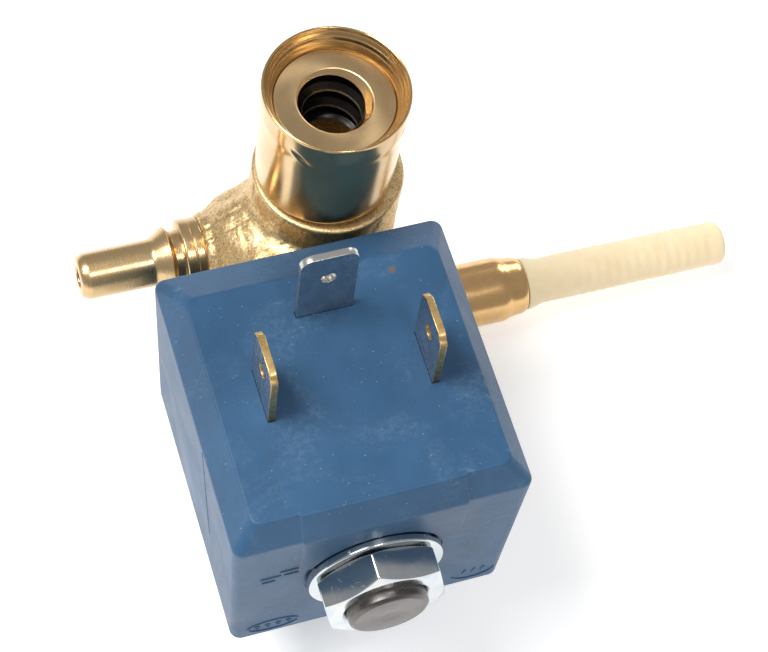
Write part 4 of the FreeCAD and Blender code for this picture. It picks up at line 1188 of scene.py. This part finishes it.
def regulator_spindle():
    """Moulded rod with a flare outside the gland, shallow ribs and a rounded end."""
    inner, tip = SPINDLE_LOW[0], SPINDLE_HIGH[0]
    nose = GLAND_HIGH[0]
    rod = SPINDLE_RADIUS
    grooves = []
    for start, end, floor in SPINDLE_GROOVES:
        grooves += [(start, rod), (start, floor), (end, floor), (end, rod)]
    outside = [
        (inner, rod - 0.3), (inner + 0.3, rod),
        *grooves,
        (nose + 0.1, rod, 0.02), (nose + 0.1, 3.3, 0.15), (nose + 0.7, 3.28, 0.3),
        (nose + 2.3, rod, 0.9),
    ]
    ribs = [(x, rod - RIB_DEPTH * (0.5 - 0.5 * math.cos((x - RIBS_FROM) * 2 * math.pi / RIB_PITCH)))
            for x in np.linspace(RIBS_FROM, RIBS_TO, 113)]
    round_end = [(tip - TIP_ROUND + TIP_ROUND * math.sin(a), rod - TIP_ROUND + TIP_ROUND * math.cos(a))
                 for a in np.linspace(0, math.pi / 2, 9)]
    socket = [(SOCKET_END, 0), (SOCKET_END, SOCKET_HALF), (inner, SOCKET_HALF)]
    profile = soften(outside, 0.06, 4, False) + ribs + round_end + [(tip, 0)] + socket

    def shaped(along, radii, angles):
        if radii[0] < SOCKET_HALF + 0.07 and along < SOCKET_END + 0.1:
            return polygon_radius(angles + math.pi / 4, 4, SOCKET_HALF, 60)
        wave = 0.03 * np.sin(along * 0.55) + 0.025 * np.cos(2 * angles + along * 0.21)
        share = smooth_step(along, nose + 3.0, nose + 6.0) if along > nose + 0.2 else 0.0
        return radii * (1 + share * wave / rod) if along < tip - 0.97 else radii * (1 + wave / rod * 0.6)

    shape = lathe(profile, REGULATOR_AXIS, X, Z, 120, shaped)
    return add_piece("regulator_spindle_moulded", *shape, [POLYMER], ["regulator_spindle"],
                     "natural_plastic")


# ---- plunger spring ----------------------------------------------------------------------
def plunger_spring():
    wire = 0.21
    coil_radius = (SPRING_HIGH[0] - SPRING_LOW[0]) / 2 - wire
    front, rear = SPRING_LOW[1] + wire, SPRING_HIGH[1] - wire
    turns, dead = 9.0, 1.0
    path = []
    for t in np.linspace(0, turns, 270):
        share = np.clip((t - dead * 0.75) / (turns - 1.5 * dead), 0, 1)
        y = front + (rear - front) * share
        angle = 2 * math.pi * t
        place_on_turn = np.array((coil_radius * math.cos(angle), y, coil_radius * math.sin(angle)))
        path.append(PLUNGER_AXIS + place_on_turn)
    shape = sweep(path, wire, 12)
    spring = add_piece("plunger_spring_wire", *shape, [SPRING_STEEL], ["plunger_spring"], "stainless")
    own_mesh(spring)
    return spring


# ---- pieces that keep their CAD shape ----------------------------------------------------
KEPT_NODES = {
    "riser_plug": INNER_BRASS,
    "seat_plug": INNER_BRASS,
    "port_gasket": RED_SEAL,
    "seat_nozzle": INNER_BRASS,
    "armature_tube": TUBE_STEEL,
    "tube_gasket": RUBBER,
    "tube_retainer": INNER_BRASS,
    "shading_ring": COPPER,
    "plunger": TUBE_STEEL,
    "plunger_seal": RED_SEAL,
    "coil_bobbin": BOBBIN_NYLON,
    "coil_winding": COPPER,
    "yoke_frame": YOKE_STEEL,
    "flux_bushes": YOKE_STEEL,
    "winding_leads": COPPER,
    "spindle_clip": SPRING_STEEL,
    "spindle_o_ring": RUBBER,
    "regulator_needle": GLAND_BRASS,
}


def finish_kept_nodes():
    for name, material in KEPT_NODES.items():
        for material_slot in frame["nodes"][name].material_slots:
            material_slot.material = material


# ---- studio ------------------------------------------------------------------------------
CAMERA_PLACE = Vector((-58.392, -129.092, 207.464)) * MM
CAMERA_RIGHT = Vector((0.95004, -0.29150, 0.11157))
CAMERA_UP = Vector((0.20635, 0.85478, 0.47619))
CAMERA_LENS = 109.82


def studio_camera():
    data = bpy.data.cameras.new("photo_view")
    data.lens = CAMERA_LENS
    data.sensor_width = 36
    data.clip_start = 0.01
    data.clip_end = 20
    camera = bpy.data.objects.new("photo_view", data)
    bpy.context.scene.collection.objects.link(camera)
    right = CAMERA_RIGHT.normalized()
    back = right.cross(CAMERA_UP).normalized()
    up = back.cross(right)
    camera.matrix_world = Matrix.Translation(CAMERA_PLACE) @ Matrix((right, up, back)).transposed().to_4x4()
    bpy.context.scene.camera = camera


def softbox(name, direction, distance, size, watts, tint=(1, 1, 1)):
    """Square soft light that faces the middle of the object."""
    centre = Vector(tuple((cad_bounds[0] + cad_bounds[1]) / 2))
    data = bpy.data.lights.new(name, "AREA")
    data.shape = "RECTANGLE"
    data.size, data.size_y = size
    data.energy = watts
    data.color = tint
    light = bpy.data.objects.new(name, data)
    bpy.context.scene.collection.objects.link(light)
    away = Vector(direction).normalized()
    light.location = centre + away * distance
    light.rotation_mode = "QUATERNION"
    light.rotation_quaternion = away.to_track_quat("Z", "Y")


def studio_floor():
    material, tree, shader = new_material("studio_floor")
    paper = grain(tree, 60, 3)
    tone = blend_colour(tree, paper, colour(0.90, 0.90, 0.90), colour(0.93, 0.93, 0.93))
    tree.links.new(tone, shader.inputs["Base Color"])
    shader.inputs["Roughness"].default_value = 0.9
    shader.inputs["Emission Color"].default_value = colour(1.0, 0.995, 0.98)
    shader.inputs["Emission Strength"].default_value = 0.34
    half, level = 3.0, cad_bounds[0][2]
    mesh = bpy.data.meshes.new("studio_floor")
    corners = [(-half, -half, level), (half, -half, level), (half, half, level), (-half, half, level)]
    mesh.from_pydata(corners, [], [(0, 1, 2, 3)])
    mesh.materials.append(material)
    floor = bpy.data.objects.new("studio_floor", mesh)
    bpy.context.scene.collection.objects.link(floor)


def studio_world():
    """Even pale grey sky."""
    world = bpy.data.worlds.new("studio_world")
    world.use_nodes = True
    tree = world.node_tree
    background = tree.nodes["Background"]
    direction = node(tree, "TexCoord").outputs["Generated"]
    height = node(tree, "SeparateXYZ", {0: direction}).outputs["Z"]
    tone = two_tone(tree, height, 0.1, 0.75, (0.40, 0.40, 0.40), (0.42, 0.42, 0.43))
    tree.links.new(tone, background.inputs["Color"])
    background.inputs["Strength"].default_value = 1.0
    bpy.context.scene.world = world


def studio():
    studio_world()
    studio_floor()
    softbox("key_light", (-0.50, 0.10, 0.86), 0.45, (0.20, 0.20), 1.8)
    softbox("side_light", (0.60, 0.72, 0.36), 0.50, (0.16, 0.22), 0.5)
    softbox("front_light", (0.05, -0.42, 0.90), 0.50, (0.07, 0.07), 0.4)
    studio_camera()
    bpy.context.scene.view_settings.view_transform = "Standard"


# ---- build -------------------------------------------------------------------------------
port_collar()
port_insert()
forged_body()
outlet_barb()
coil_nut()
coil_washer()
fixed_core()
coil_housing()
mould_relief()
flash_line()
terminals()
regulator_gland()
regulator_spindle()
plunger_spring()
finish_kept_nodes()
studio()
